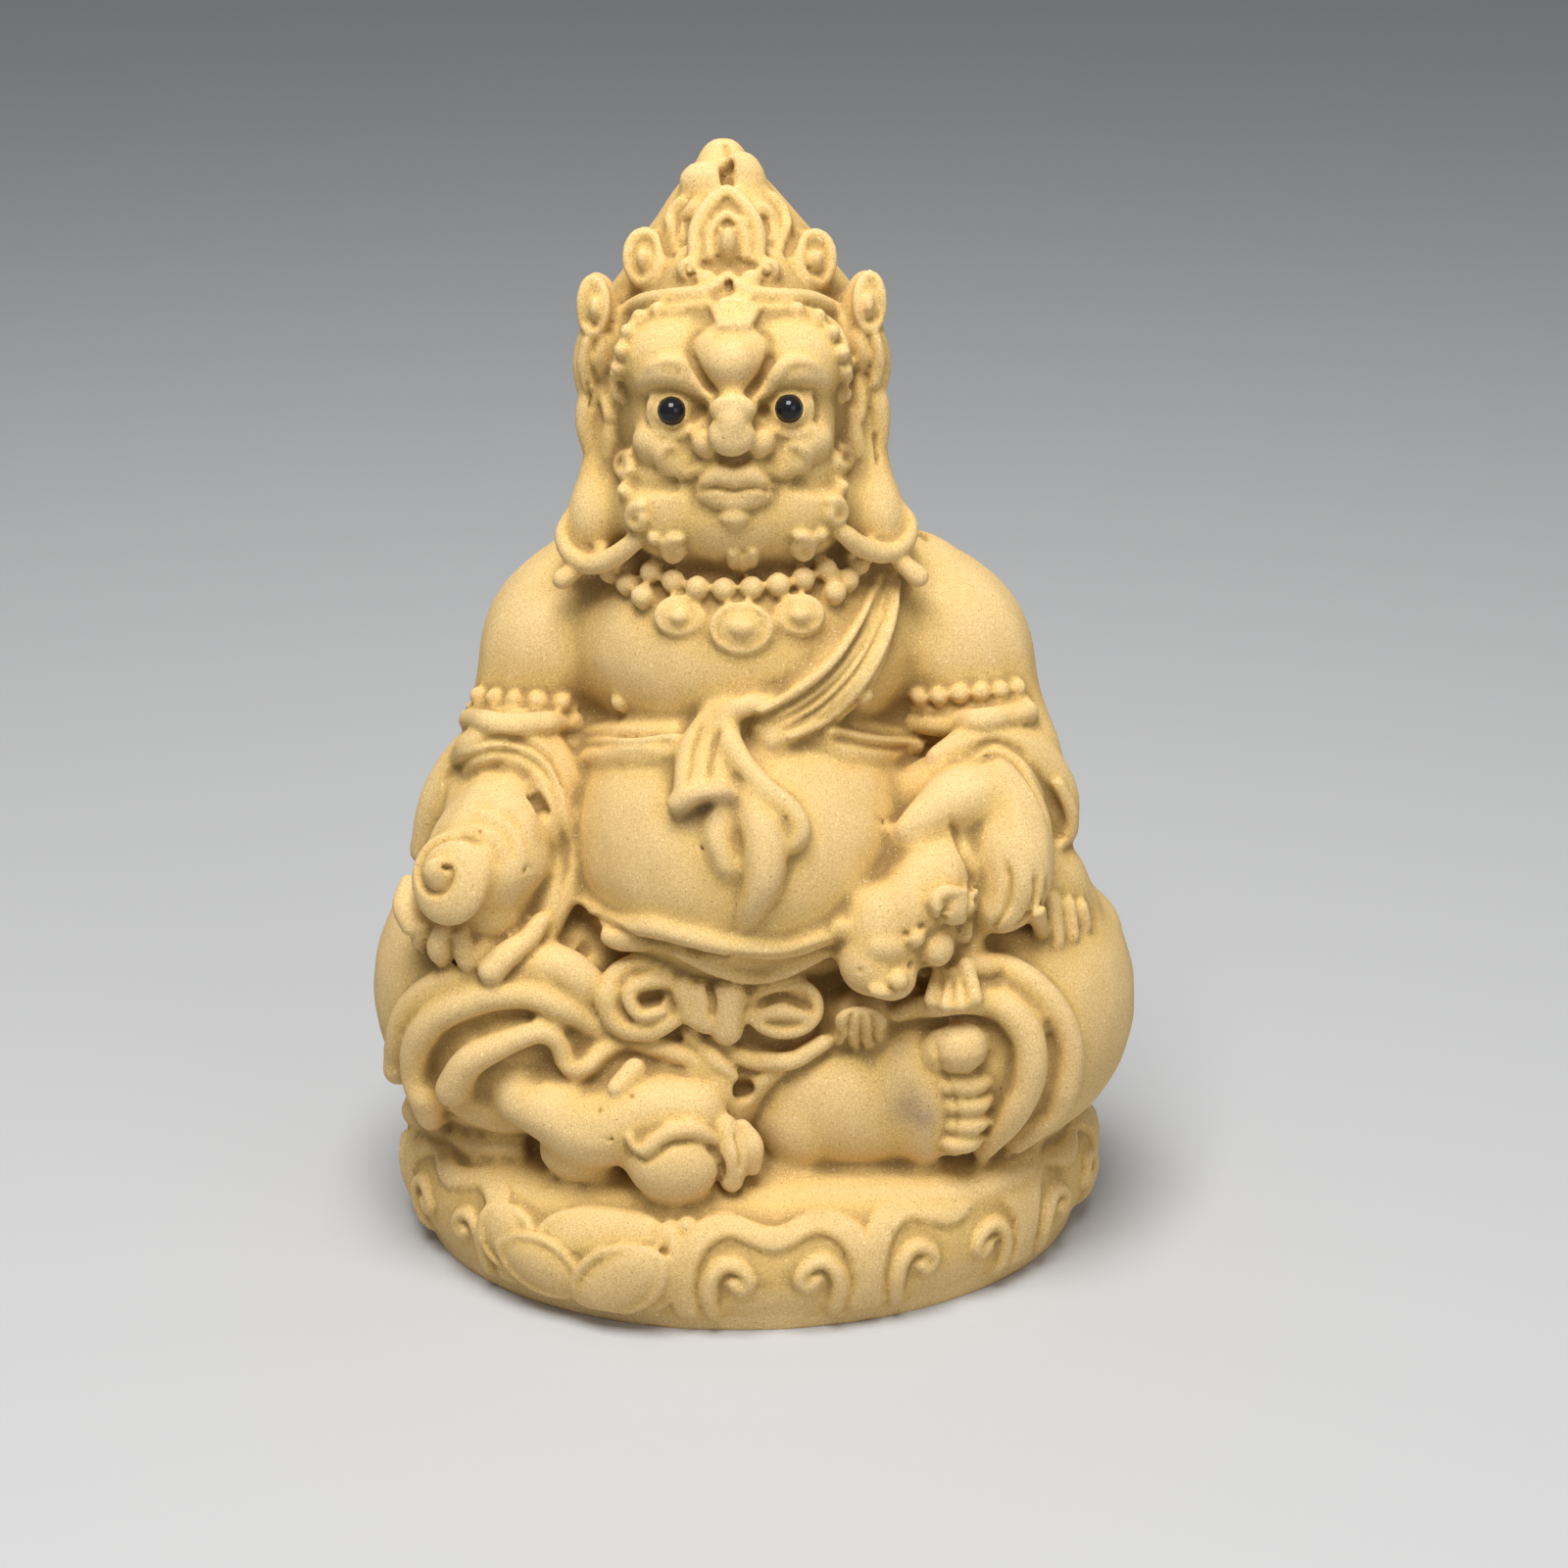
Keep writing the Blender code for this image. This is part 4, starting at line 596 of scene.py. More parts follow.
def block_in_body(clay):
    # Seat and crossed legs
    clay.ball((0.0, 1.5, 19.5), (27.5, 18.0, 12.5))
    clay.ball((0.0, 6.0, 25.0), (19.0, 12.5, 13.0))
    clay.ball((-18.2, -2.0, 21.5), (13.2, 15.0, 13.6), turn=(0, 14, 0))
    clay.ball((19.0, -2.5, 20.5), (13.1, 15.0, 13.0), turn=(0, -10, 0))
    clay.ball((0.0, -7.5, 16.0), (19.0, 8.5, 7.5))
    clay.ball((0.5, -11.0, 9.3), (24.0, 10.5, 2.6))
    # Belly, chest and back
    clay.ball((-0.6, -5.3, 36.0), (14.6, 14.6, 13.5))
    clay.ball((-0.3, 2.5, 38.0), (17.5, 12.8, 19.0))
    clay.ball((-0.3, -1.2, 51.5), (14.3, 11.8, 10.5))
    clay.ball((0.2, 1.2, 52.5), (16.5, 9.6, 8.6))
    # Shoulders and upper arms
    clay.coil([
        (-12.0, 0.5, 54.0), (-15.2, 0.0, 50.3), (-17.2, -1.0, 45.5), (-18.6, -3.0, 41.0)],
        [6.2, 6.6, 5.4, 5.2])
    clay.coil([
        (12.6, 0.5, 53.6), (16.2, 0.0, 49.8), (18.4, -1.5, 45.0), (20.5, -4.0, 41.0)], [6.2, 6.8, 5.6, 5.2])
    # Neck and head
    clay.ball((-0.6, 0.0, 58.5), (13.5, 8.5, 5.6))
    clay.ball((-1.3, -1.8, 71.5), (9.4, 9.8, 12.0))
    clay.ball((-1.3, 2.2, 72.0), (11.8, 8.4, 12.0))
    clay.ball((-1.2, 4.0, 62.0), (9.5, 6.0, 8.0))
    clay.coil([
        (-1.4, 1.6, 78.0), (-1.6, 2.0, 82.0), (-1.8, 2.4, 85.4), (-1.9, 2.8, 88.4)], [8.8, 7.0, 4.9, 2.2])


def block_in_face(clay):
    clay.balls_at([
        (-6.0, 61.3, -7.6, (4.8, 4.0, 4.8)), (3.4, 61.3, -7.6, (4.8, 4.0, 4.8)),
        (-1.2, 60.5, -8.6, (5.5, 3.8, 4.2)), (-1.2, 66.9, -8.2, (7.8, 3.6, 6.5)),
        (-6.2, 73.2, -7.2, (4.6, 3.9, 3.6)), (3.3, 73.2, -7.2, (4.6, 3.9, 3.6))])
    clay.coil_at([
        (-11.5, 67.7, -2.5), (-11.7, 63.7, -3.2), (-12.2, 60.1, -4.8), (-13.3, 57.3, -4.5)],
        [1.9, 2.3, 2.9, 2.0])
    clay.coil_at([
        (9.2, 67.7, -2.5), (9.4, 63.7, -3.2), (10.0, 60.1, -4.8), (11.5, 57.3, -4.5)], [1.9, 2.3, 2.9, 2.0])


heap = Clay()
block_in_body(heap)
block_in_face(heap)
heap.solid(turned_base())
body_skin = heap.fuse("body")
print("body skin has", len(body_skin.vertices), "points")

# %% [markdown]
# The second pass adds the forearms, the hands, the shell, the feet and the small animal on the knee. It is
# a pass of its own because these need a finer skin and less rubbing than the body.

# %% Limbs

def block_in_limbs(clay):
    # Left forearm and the shell it holds
    clay.coil([(-18.6, -3.0, 41.0), at((-20.1, 35.6), -7.5), at((-21.3, 31.6), -10.5)], [5.2, 5.0, 4.8])
    clay.coil_at([
        (-19.1, 38.0, -7.5), (-20.5, 34.4, -10.5), (-21.5, 31.2, -12.0), (-21.3, 28.2, -12.5)],
        [3.2, 4.6, 5.1, 3.4])
    clay.ball(at((-23.3, 27.1), -12.0), (4.4, 3.2, 2.8))
    # Right forearm and hand
    clay.coil([
        (20.5, -4.0, 41.0), at((19.5, 37.6), -8.0), at((20.6, 34.0), -10.8), at((21.3, 30.4), -12.8),
        at((20.6, 28.0), -14.0)], [5.0, 4.3, 4.2, 3.6, 2.4])
    clay.balls_at([
        (17.7, 34.0, -11.0, (3.0, 2.5, 4.5)), (21.4, 30.5, -13.2, (3.2, 2.7, 4.7), (0, 4, 0)),
        (19.5, 29.6, -12.8, (2.7, 2.4, 3.8)), (15.5, 37.0, -8.8, 3.4), (12.6, 32.2, -12.6, 2.4)])
    clay.coil_at([
        (19.7, 37.0, -9.8), (16.9, 36.6, -12.2), (14.9, 35.5, -13.4), (12.9, 34.2, -14.2)],
        [3.2, 2.7, 2.0, 1.25])
    # Hind part of the mongoose, over the thigh
    clay.coil_at([(21.3, 31.6, -7.0), (23.9, 29.6, -6.0), (25.9, 28.0, -5.0)], [4.6, 4.2, 3.0])
    # Thigh tops beside the belly, and the cloth below it
    clay.balls_at([
        (13.2, 21.9, -9.5, (7.0, 5.5, 4.5)), (-2.4, 21.0, -11.5, (10.0, 4.5, 4.6)),
        (-1.6, 16.3, -12.0, (6.0, 3.5, 4.0)), (-15.7, 22.7, -11.0, (5.0, 5.0, 3.5)),
        (25.9, 25.5, -2.0, (4.8, 6.0, 4.6))])
    # Mongoose body and head
    clay.coil_at([(15.8, 32.5, -13.0), (15.0, 30.4, -15.0), (13.2, 28.0, -16.4)], [2.7, 3.1, 3.1])
    clay.balls_at([
        (16.9, 30.8, -12.2, (2.6, 2.6, 4.2)), (11.2, 25.9, -16.6, (3.7, 3.1, 4.5), (0, 16, 0)),
        (10.0, 23.5, -17.4, (2.7, 2.7, 2.9)), (11.6, 22.1, -18.4, (2.1, 2.0, 1.9)),
        (14.5, 25.9, -15.6, (2.4, 2.4, 3.0))])
    clay.coil_at([(17.4, 25.3, -13.6), (17.3, 22.7, -14.4), (16.8, 21.1, -15.0)], [1.8, 2.0, 2.0])
    clay.ball(at((9.2, 18.9), -15.0), (2.3, 3.0, 2.2))
    clay.ball(at((13.2, 19.5), -12.8), (3.6, 2.6, 2.4))
    # Left leg opening: shin and foot lying across the front
    clay.coil_at([
        (-23.7, 14.7, -11.5), (-19.7, 13.1, -12.5), (-13.3, 14.3, -13.5), (-6.8, 13.9, -14.0)],
        [3.6, 3.8, 3.8, 3.6])
    clay.coil_at([
        (-18.9, 12.0, -16.6), (-16.0, 11.2, -17.2), (-12.5, 10.0, -17.6), (-7.8, 11.3, -18.0),
        (-4.6, 11.3, -18.0)], [2.0, 2.9, 3.5, 3.0, 2.8])
    clay.ball(at((-18.8, 12.8), -16.4), 2.0)
    clay.ball(at((-13.9, 8.1), -16.4), (3.4, 2.8, 2.5))
    # Right sole, heel down in the middle
    clay.balls_at([
        (8.7, 12.1, -14.6, (8.0, 3.8, 5.6), (0, -4, 0)), (4.6, 10.7, -14.5, (4.2, 3.5, 4.4)),
        (12.4, 12.8, -14.9, (4.4, 3.5, 5.9)), (14.2, 12.3, -15.2, (3.3, 3.4, 5.7)),
        (12.9, 14.0, -14.9, (4.0, 3.4, 4.9))])
    clay.coil_at([(15.8, 15.5, -15.8), (17.1, 11.9, -15.8), (16.9, 8.7, -15.6)], [2.1, 1.9, 1.4])
    # Small shell under the left foot
    clay.ball(at((-6.2, 7.1), -19.7), (3.95, 2.9, 3.45))


heap = Clay()
block_in_limbs(heap)
heap.solid(body_skin)
limb_skin = heap.fuse("limbs")
print("with its limbs the skin has", len(limb_skin.vertices), "points")

# %% [markdown]
# Carved cloth is made of rolls that lie side by side: the sleeve over the shell, the rolled hems round both
# folded legs, the sash with its knot, and the belt. Each roll is a coil laid on the body.

# %% Drapery and the soft forms of the face
# The three pendants: where each hangs, its half width and its half height
PENDANTS = (((-5.8, 51.8), 2.1, 1.6), ((-0.7, 50.8), 2.8, 2.2), ((4.1, 51.9), 2.1, 1.65))
# The two edges of the sash, from the shoulder down to the knot
SASH_EDGES = (
    [(10.7, 54.9), (9.2, 51.5), (6.7, 48.0), (3.8, 45.6), (0.9, 44.1)],
    [(12.1, 54.4), (11.5, 50.9), (9.5, 46.8), (6.5, 43.6), (3.3, 41.9)])


def lay_features(clay, skin):
    """The soft forms of the face, which the ornament pass sharpens."""
    for brow in (
            [(-8.9, 70.8), (-7.3, 71.8), (-5.4, 71.4), (-4.0, 70.2)],
            [(6.2, 71.0), (4.4, 71.8), (2.5, 71.5), (1.0, 70.2)]):
        clay.coil(skin.lay(brow, -0.45), [0.9, 1.25, 1.2, 0.9])
    for cheek in ((-7.5, 65.8), (4.6, 66.0)):
        clay.ball(skin.on(cheek, -1.3), (2.7, 2.1, 2.0))
    clay.coil_on(skin, [(-1.5, 69.8, -0.6), (-1.4, 68.1, 0.1), (-1.4, 66.7, 0.2)], [1.9, 1.6, 1.4])
    clay.ball(skin.on((-1.3, 63.2), -0.9), (2.8, 1.7, 2.1))
    # Heart-shaped boss between the brows
    clay.ball(skin.on((-1.6, 73.5), -0.4), (3.1, 1.75, 2.4), turn=(-15, 0, 0))
    clay.coil_on(skin, [(-1.6, 72.7, 0.1), (-1.5, 70.5, -0.3)], [2.1, 0.9])


def lay_plates(clay, skin):
    """Cushions that carry ornament: the crown's leaves, the pendants and the end of the shell."""
    clay.ball(skin.on((-1.9, 82.5), -0.3), (2.7, 1.3, 4.0), turn=(-28, 0, 0))
    for spot in ((-8.6, 81.2), (5.4, 81.2)):
        clay.ball(skin.on(spot, -0.2), (1.75, 1.3, 2.4), turn=(-20, 0, 0))
    for side, spot in ((-1.0, (-12.6, 77.3)), (1.0, (9.6, 77.5))):
        petal = at(spot, -2.0) - Vector((side * 0.3, 0.0, 0.3))
        clay.ball(petal, (1.7, 2.3, 2.9), turn=(0, side * 8, 0))
        clay.coil([
            petal + Vector((side * 0.3, -0.9, -2.0)), petal + Vector((side * 0.9, -0.6, -4.5)),
            petal + Vector((side * 0.3, -0.6, -8.0))], [1.5, 1.4, 1.2])
    clay.ball(skin.on((-3.9, 87.7), -0.5), (2.1, 1.4, 1.7))
    clay.ball(skin.on((-0.1, 88.0), -0.6), (1.7, 1.3, 2.4), turn=(0, -20, 0))
    for spot, wide, high in PENDANTS:
        clay.ball(skin.on(spot, -0.3), (wide, 0.95, high), turn=(-12, 0, 0))
    clay.ball(skin.on((-24.6, 30.2), 0.0), (3.4, 1.6, 3.75), turn=(-20, 0, -25))
    clay.ball(skin.on((-8.8, 20.5), 0.5), (3.4, 1.5, 2.8), turn=(-10, 0, -10))
    clay.ball(skin.on((2.8, 19.7), 0.5), (3.0, 1.4, 2.3), turn=(-10, 0, 6))


def lay_sleeves(clay, skin):
    # Sleeve arch over the shell
    clay.coil_at([
        (-26.8, 32.5, -5.5), (-25.2, 36.8, -5.5), (-22.4, 40.3, -5.5), (-18.9, 41.9, -6.5),
        (-16.0, 39.4, -8.2), (-15.2, 34.8, -9.8), (-15.5, 30.0, -11.8), (-16.9, 25.9, -13.2)],
        [1.2, 1.9, 2.3, 2.2, 1.8, 1.7, 1.6, 1.3])
    clay.coil_on(skin, [
        (-24.9, 38.0, 0.0), (-20.9, 40.8, 0.3), (-17.5, 39.2, 0.4), (-16.2, 34.8, 0.3), (-16.3, 30.0, 0.3),
        (-17.5, 25.9, 0.4), (-18.9, 24.2, 0.4), (-20.4, 23.1, 0.4)],
        [1.4, 1.7, 1.5, 1.3, 1.2, 1.1, 0.9, 1.3])
    clay.coil_on(skin, [
        (-26.1, 34.3, 0.0), (-24.7, 37.5, 0.5), (-22.0, 40.3, 0.8), (-18.7, 40.6, 0.8), (-16.5, 38.0, 0.8)],
        [1.0, 1.6, 1.8, 1.7, 1.3])
    # Right sleeve fold
    clay.coil([
        skin.on((15.4, 40.0), 0.2), at((18.9, 41.6), -8.0), at((22.6, 40.4), -6.4), at((24.7, 37.4), -5.8),
        at((25.4, 34.5), -5.8)], [1.0, 1.7, 2.1, 2.2, 1.7])


def lay_left_leg(clay, skin):
    # Outer roll, then the wide roll that turns into the hem, then the wavy inner hem
    clay.rolls(skin, [
        ([(-21.5, 22.1), (-24.9, 21.7), (-27.6, 19.7), (-28.6, 16.5), (-28.2, 12.7), (-26.1, 9.6),
         (-22.0, 7.5)], 0.35, [1.1, 1.2, 1.2, 1.15, 1.1, 1.0, 0.8]),
        ([(-18.9, 7.7), (-22.3, 8.3), (-25.1, 10.5), (-26.5, 13.5), (-26.8, 16.3), (-25.3, 18.9),
         (-21.3, 20.6), (-16.4, 20.5), (-12.6, 18.2), (-8.9, 16.8), (-4.0, 15.3), (-2.0, 12.9),
         (-1.4, 10.8)], 0.8, [0.7, 1.2, 1.35, 1.35, 1.2, 1.0, 0.9, 0.8]),
        ([(-24.0, 13.4), (-22.6, 15.7), (-20.1, 16.9), (-17.3, 17.9), (-15.9, 17.1), (-15.1, 15.3),
         (-13.9, 14.6), (-12.2, 15.5), (-10.4, 16.5), (-7.8, 16.5)], 0.9,
         [1.5, 1.3, 1.0, 0.85, 0.8, 0.8, 0.8])])
    clay.ball(skin.on((-13.3, 17.4), -0.2), (2.8, 1.2, 1.8))
    # Roll of cloth on the thigh
    clay.coil(skin.lay([
        (-19.1, 23.1), (-15.5, 22.9), (-13.1, 21.0), (-12.0, 18.9)], 0.2), [1.3, 1.8, 1.7, 1.0])


def lay_right_leg(clay, skin):
    clay.coil(skin.lay([
        (17.9, 23.1), (21.1, 22.7), (23.9, 20.7), (25.8, 17.5), (25.9, 14.3), (24.7, 11.3), (21.7, 8.8)],
        0.4), [0.9, 1.2, 1.25, 1.25, 1.2, 1.1, 0.9])
    clay.coil(skin.lay([
        (11.8, 19.2), (14.9, 20.0), (18.1, 20.5), (21.0, 19.5), (22.6, 17.1), (22.7, 14.3), (21.4, 11.3),
        (19.1, 8.7)], 0.7), [0.7, 1.0, 1.3, 1.45, 1.45, 1.3, 1.0])
    # Hem along the instep
    clay.coil(skin.lay([(-0.7, 10.8), (0.9, 13.6), (4.0, 15.9), (8.3, 17.7)], 0.2), [0.7, 0.8, 0.8, 0.6])


def lay_sash(clay, skin):
    # Sash over the shoulder: three strands side by side
    for side, size in ((-1.0, 1.25), (0.0, 1.6), (1.0, 1.25)):
        clay.coil([
            skin.on((11.6, 54.9), 0.0), skin.on(moved((10.3, 51.2), side * 0.6, -side * 0.3), 0.1),
            skin.on(moved((7.9, 47.5), side, -side * 0.8), 0.2),
            skin.on(moved((4.9, 44.8), side * 0.8, -side), 0.3),
            skin.on(moved((1.4, 42.5), side * 0.3, -side), 0.3)],
            [0.5, size * 0.75, size, size, size * 0.9])
    # Wide tail on the left with a rolled end
    for side in (-1.1, 0.0, 1.1):
        clay.coil([
            skin.on(moved((-1.9, 44.3), side * 0.6, -abs(side) * 0.3), 0.2),
            skin.on(moved((-3.3, 40.8), side, 0.0), 0.3), skin.on(moved((-3.7, 37.5), side, 0.0), 0.5)],
            [1.2, 1.35, 1.35])
    clay.coil_on(skin, [(-5.6, 36.2, 0.9), (-4.0, 37.0, 1.2), (-1.9, 37.0, 1.0)], [0.95, 1.0, 0.8])
    # Lower tails
    clay.coil_on(skin, [(-2.2, 35.9, 0.0), (-2.6, 33.5, 0.1), (-1.9, 31.2, 0.0)], [1.0, 1.1, 0.9])
    clay.coil_on(skin, [
        (-0.0, 37.0, 0.2), (1.0, 34.0, 0.3), (1.2, 30.8, 0.3), (0.4, 28.4, 0.1), (-0.7, 26.1, -0.2)],
        [1.3, 1.7, 1.6, 1.1, 0.35])
    # Knot strap round the sash
    clay.coil_on(skin, [
        (2.0, 45.1, 1.0), (-0.4, 45.1, 1.4), (-1.8, 43.1, 1.6), (-1.1, 39.9, 1.4), (0.9, 37.5, 1.2),
        (3.1, 35.7, 0.8), (3.9, 34.0, 0.6), (2.6, 32.5, 0.3)], [0.7, 0.9, 0.95, 0.95, 0.9, 0.95, 0.95, 0.6])
    # Chest band, two ridges a side
    clay.rolls(skin, [
        ([(-15.4, 41.9), (-12.5, 42.2), (-5.9, 42.2)], 0.1, 0.75),
        ([(-15.2, 40.0), (-12.5, 40.2), (-5.9, 40.6)], 0.1, 0.75),
        ([(6.5, 42.8), (10.0, 42.2), (13.6, 42.0)], 0.1, 0.75),
        ([(4.6, 41.9), (8.8, 40.7), (14.1, 40.4)], 0.1, 0.75)])


def lay_belt(clay, skin):
    # Belt under the belly with its hook
    clay.coil(skin.lay([
        (-14.2, 29.7), (-13.0, 28.4), (-11.0, 26.7), (-7.5, 26.3), (-2.0, 25.0), (2.8, 24.7), (7.8, 26.3)],
        0.2), [0.6, 0.7, 0.9, 0.95, 0.95, 0.95, 0.8])
    clay.ball(skin.on((-9.8, 25.5), 0.0), (2.5, 1.2, 1.3))
    clay.coil(skin.lay([(-6.0, 24.5), (-3.0, 23.0), (-0.0, 22.2), (2.8, 22.7), (6.4, 24.5)], 0.1), 0.65)


def lay_back(clay, skin):
    """The plainer back: chest band, sash, belt and the robe's folds carried round, and long locks of hair."""
    clay.coil(skin.behind([(-17.0, 44.5), (-8.0, 43.2), (0.0, 42.8), (8.0, 43.2), (17.5, 44.5)], 0.1), 0.8)
    clay.coil(skin.behind([(-17.0, 42.6), (-8.0, 41.3), (0.0, 40.9), (8.0, 41.3), (17.5, 42.6)], 0.1), 0.8)
    for side, size in ((-1.0, 1.1), (0.0, 1.4), (1.0, 1.1)):
        clay.coil(skin.behind([
            (11.5 + side, 56.5 + side), (7.0 + side, 51.5 + side), (1.0 + side, 47.0 + side),
            (-5.0 + side, 43.6 + side)], 0.1), [size * 0.7, size, size, size * 0.8])
    clay.coil(skin.behind([
        (-20.0, 33.0), (-10.0, 30.2), (0.0, 29.4), (10.0, 30.2), (20.5, 32.6)], 0.2), [1.0, 1.2, 1.2, 1.0])
    for depth, reach, size in ((26.2, 22.0, 1.0), (22.2, 25.0, 1.2), (17.8, 26.0, 1.2)):
        clay.coil(skin.behind([
            (-reach, depth + 2.6), (-reach * 0.5, depth + 0.4), (0.0, depth - 0.6),
            (reach * 0.5, depth + 0.3), (reach, depth + 2.4)], 0.0),
            [size * 0.5, size, size, size, size * 0.5])
    for across in (-7.4, -4.3, -1.3, 1.7, 4.8):
        clay.coil(skin.behind([
            (-1.8 + (across + 1.3) * 0.3, 86.0), (across * 0.9, 79.0), (across * 1.1, 71.0),
            (across * 1.0, 62.5)], -0.2), [0.8, 1.6, 1.8, 1.2])


heap = Clay()
limbed = Skin(limb_skin)
for lay_forms in (lay_features, lay_plates, lay_sleeves, lay_left_leg, lay_right_leg, lay_sash, lay_belt,
        lay_back):
    lay_forms(heap, limbed)
heap.solid(limb_skin)
dressed_skin = heap.fuse("dressed")
print("dressed skin has", len(dressed_skin.vertices), "points")

# %% [markdown]
# Deep hollows are pressed in before the small forms go on: the sockets of the eyes, the frown, and the gap
# where the legs meet.

# %% Pressed hollows

def press_hollows(skin):
    """Deep hollows pressed in before the small forms go on."""
    tool = Strokes(skin)
    for socket in ([(-7.5, 68.5), (-6.0, 68.7), (-4.6, 68.5)], [(4.6, 68.7), (2.8, 68.8), (1.6, 68.5)]):
        tool.line(socket, 1.6, -0.7, taper=False)
    for fold in (
            [(-5.1, 73.2), (-4.5, 71.8), (-3.6, 70.6), (-2.6, 69.7)],
            [(1.9, 73.2), (1.4, 71.8), (0.6, 70.6), (-0.3, 69.7)]):
        tool.line(fold, 0.8, -0.45)
    tool.line([(-5.4, 84.9), (-5.8, 83.7), (-5.5, 82.2)], 1.2, -0.8)
    tool.line([(1.2, 84.9), (1.8, 83.7), (1.5, 82.2)], 1.2, -0.8)
    tool.dab((-0.7, 12.9), 1.2, -1.6)
    tool.line([(-14.2, 24.7), (-13.3, 23.9)], 1.2, -1.0)
    tool.press()


press_hollows(Skin(dressed_skin))
print("hollows pressed")

# %% [markdown]
# Beads repeat along a line, which is a job for Geometry Nodes. The curve is resampled to the number of
# beads, a small ball goes on every point, and the instances are made real so that they can be fused.

# %% Rows of beads with Geometry Nodes


def bead_row_tree():
    tree = bpy.data.node_groups.new("bead row", "GeometryNodeTree")
    sockets = tree.interface
    for name, kind in (("Geometry", "NodeSocketGeometry"), ("Beads", "NodeSocketInt"),
                       ("Bead Radius", "NodeSocketFloat")):
        sockets.new_socket(name, in_out="INPUT", socket_type=kind)
    sockets.new_socket("Geometry", in_out="OUTPUT", socket_type="NodeSocketGeometry")
    entry = tree.nodes.new("NodeGroupInput")
    spread = tree.nodes.new("GeometryNodeResampleCurve")
    spread.mode = "COUNT"
    ball = tree.nodes.new("GeometryNodeMeshIcoSphere")
    ball.inputs["Subdivisions"].default_value = 3
    string = tree.nodes.new("GeometryNodeInstanceOnPoints")
    real = tree.nodes.new("GeometryNodeRealizeInstances")
    finish = tree.nodes.new("GeometryNodeSetMaterial")
    finish.inputs["Material"].default_value = buff_clay
    leave = tree.nodes.new("NodeGroupOutput")
    for source, out, target, into in (
            (entry, "Geometry", spread, "Curve"), (entry, "Beads", spread, "Count"),
            (entry, "Bead Radius", ball, "Radius"), (spread, "Curve", string, "Points"),
            (ball, "Mesh", string, "Instance"), (string, "Instances", real, "Geometry"),
            (real, "Geometry", finish, "Geometry"), (finish, "Geometry", leave, "Geometry")):
        tree.links.new(source.outputs[out], target.inputs[into])
    return tree


BEAD_ROW = bead_row_tree()


def bead_row(points, count, radius):
    """A mesh of equal beads spread evenly along a smooth line."""
    line = bpy.data.curves.new("bead line", "CURVE")
    line.dimensions = "3D"
    add_run(line, smooth_run([tuple(point) for point in points]))
    item = placed("bead line", line)
    row = item.modifiers.new("beads", "NODES")
    row.node_group = BEAD_ROW
    inputs = {socket.name: socket.identifier for socket in BEAD_ROW.interface.items_tree
              if socket.in_out == "INPUT"}
    row[inputs["Beads"]] = count
    row[inputs["Bead Radius"]] = radius
    return taken(item)


print("a test row of 5 beads has", len(bead_row([(0, 0, 0), (5, 0, 0), (9, 1, 0)], 5, 0.8).polygons),
      "faces")

# %% [markdown]
# The ornament pass gives the statuette its character. Everything is laid on the dressed skin: eyelids,
# moustache curls and lips, the five-leafed crown, ear ribbons, necklace, armlets, fingers, toes, the bow
# and the scroll clouds on the seat.

# %% Face, crown, jewels, hands and feet

def ring(spot, wide, high, count=13):
    """Spots round an oval on the drawing board, closed."""
    return [moved(spot, wide * math.sin(turn), high * math.cos(turn))
            for turn in np.linspace(0.0, 2.0 * math.pi, count)]


def spiral(spot, wide, high, turns, start, inner=0.12, hand=1.0):
    """Spots along a spiral on the board, from its rim to its middle."""
    spots = []
    for share in np.linspace(0.0, 1.0, int(turns * 10) + 1):
        angle = start + hand * share * turns * 2.0 * math.pi
        reach = 1.0 - (1.0 - inner) * share
        spots.append(moved(spot, wide * reach * math.cos(angle), high * reach * math.sin(angle)))
    return spots


def mirrored(spots, middle):
    return [(2.0 * middle - spot[0], spot[1]) for spot in spots]


print("a spiral of 2 turns has", len(spiral((0.0, 0.0), 1.0, 1.0, 2.0, 0.0)), "spots")

# %% [markdown]
# The face is a guardian mask: bulging eyes under knitted brows, a broad nose with flared wings, a curled
# moustache and small pursed lips. The clay eyeballs stand where the solid model has its eye beads.

# %% Face
FACE_MIDDLE = -1.35
BOSS_MIDDLE = -1.6
# How deep the middle of a bead lies under its eyeball's surface, as a share of the bead's radius
BEAD_SUNK = 0.45
# How round an eyelid's arc is: its height for a width of one
LID_ROUNDNESS = 0.92


def bead_centre(node):
    low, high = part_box(node)
    return (Vector(low) + Vector(high)) / 2.0


def eyeball_centre(node):
    """The middle of the clay eyeball behind a bead, in modules."""
    bead = bead_centre(node) / MODULE + Vector((0.0, 0.0, UNDERSIDE))
    towards = (EYE_POINT - bead).normalized()
    return bead - towards * (EYEBALL_RADIUS - BEAD_SUNK * EYE_BEAD_DIAMETER / 2.0 / MODULE)


def lay_lid(clay, eyeball, start, end, reach, forward, radii):
    """An eyelid: an arc round the eyeball, seen from the front, at angles in degrees."""
    towards = (EYE_POINT - eyeball).normalized()
    across = Vector((1.0, 0.0, 0.0))
    upright = towards.cross(across)
    points = []
    for angle in np.radians(np.linspace(start, end, 9)):
        swing = across * math.cos(angle) + upright * (math.sin(angle) * LID_ROUNDNESS)
        points.append(eyeball + swing * reach + towards * forward)
    clay.coil(points, radii)


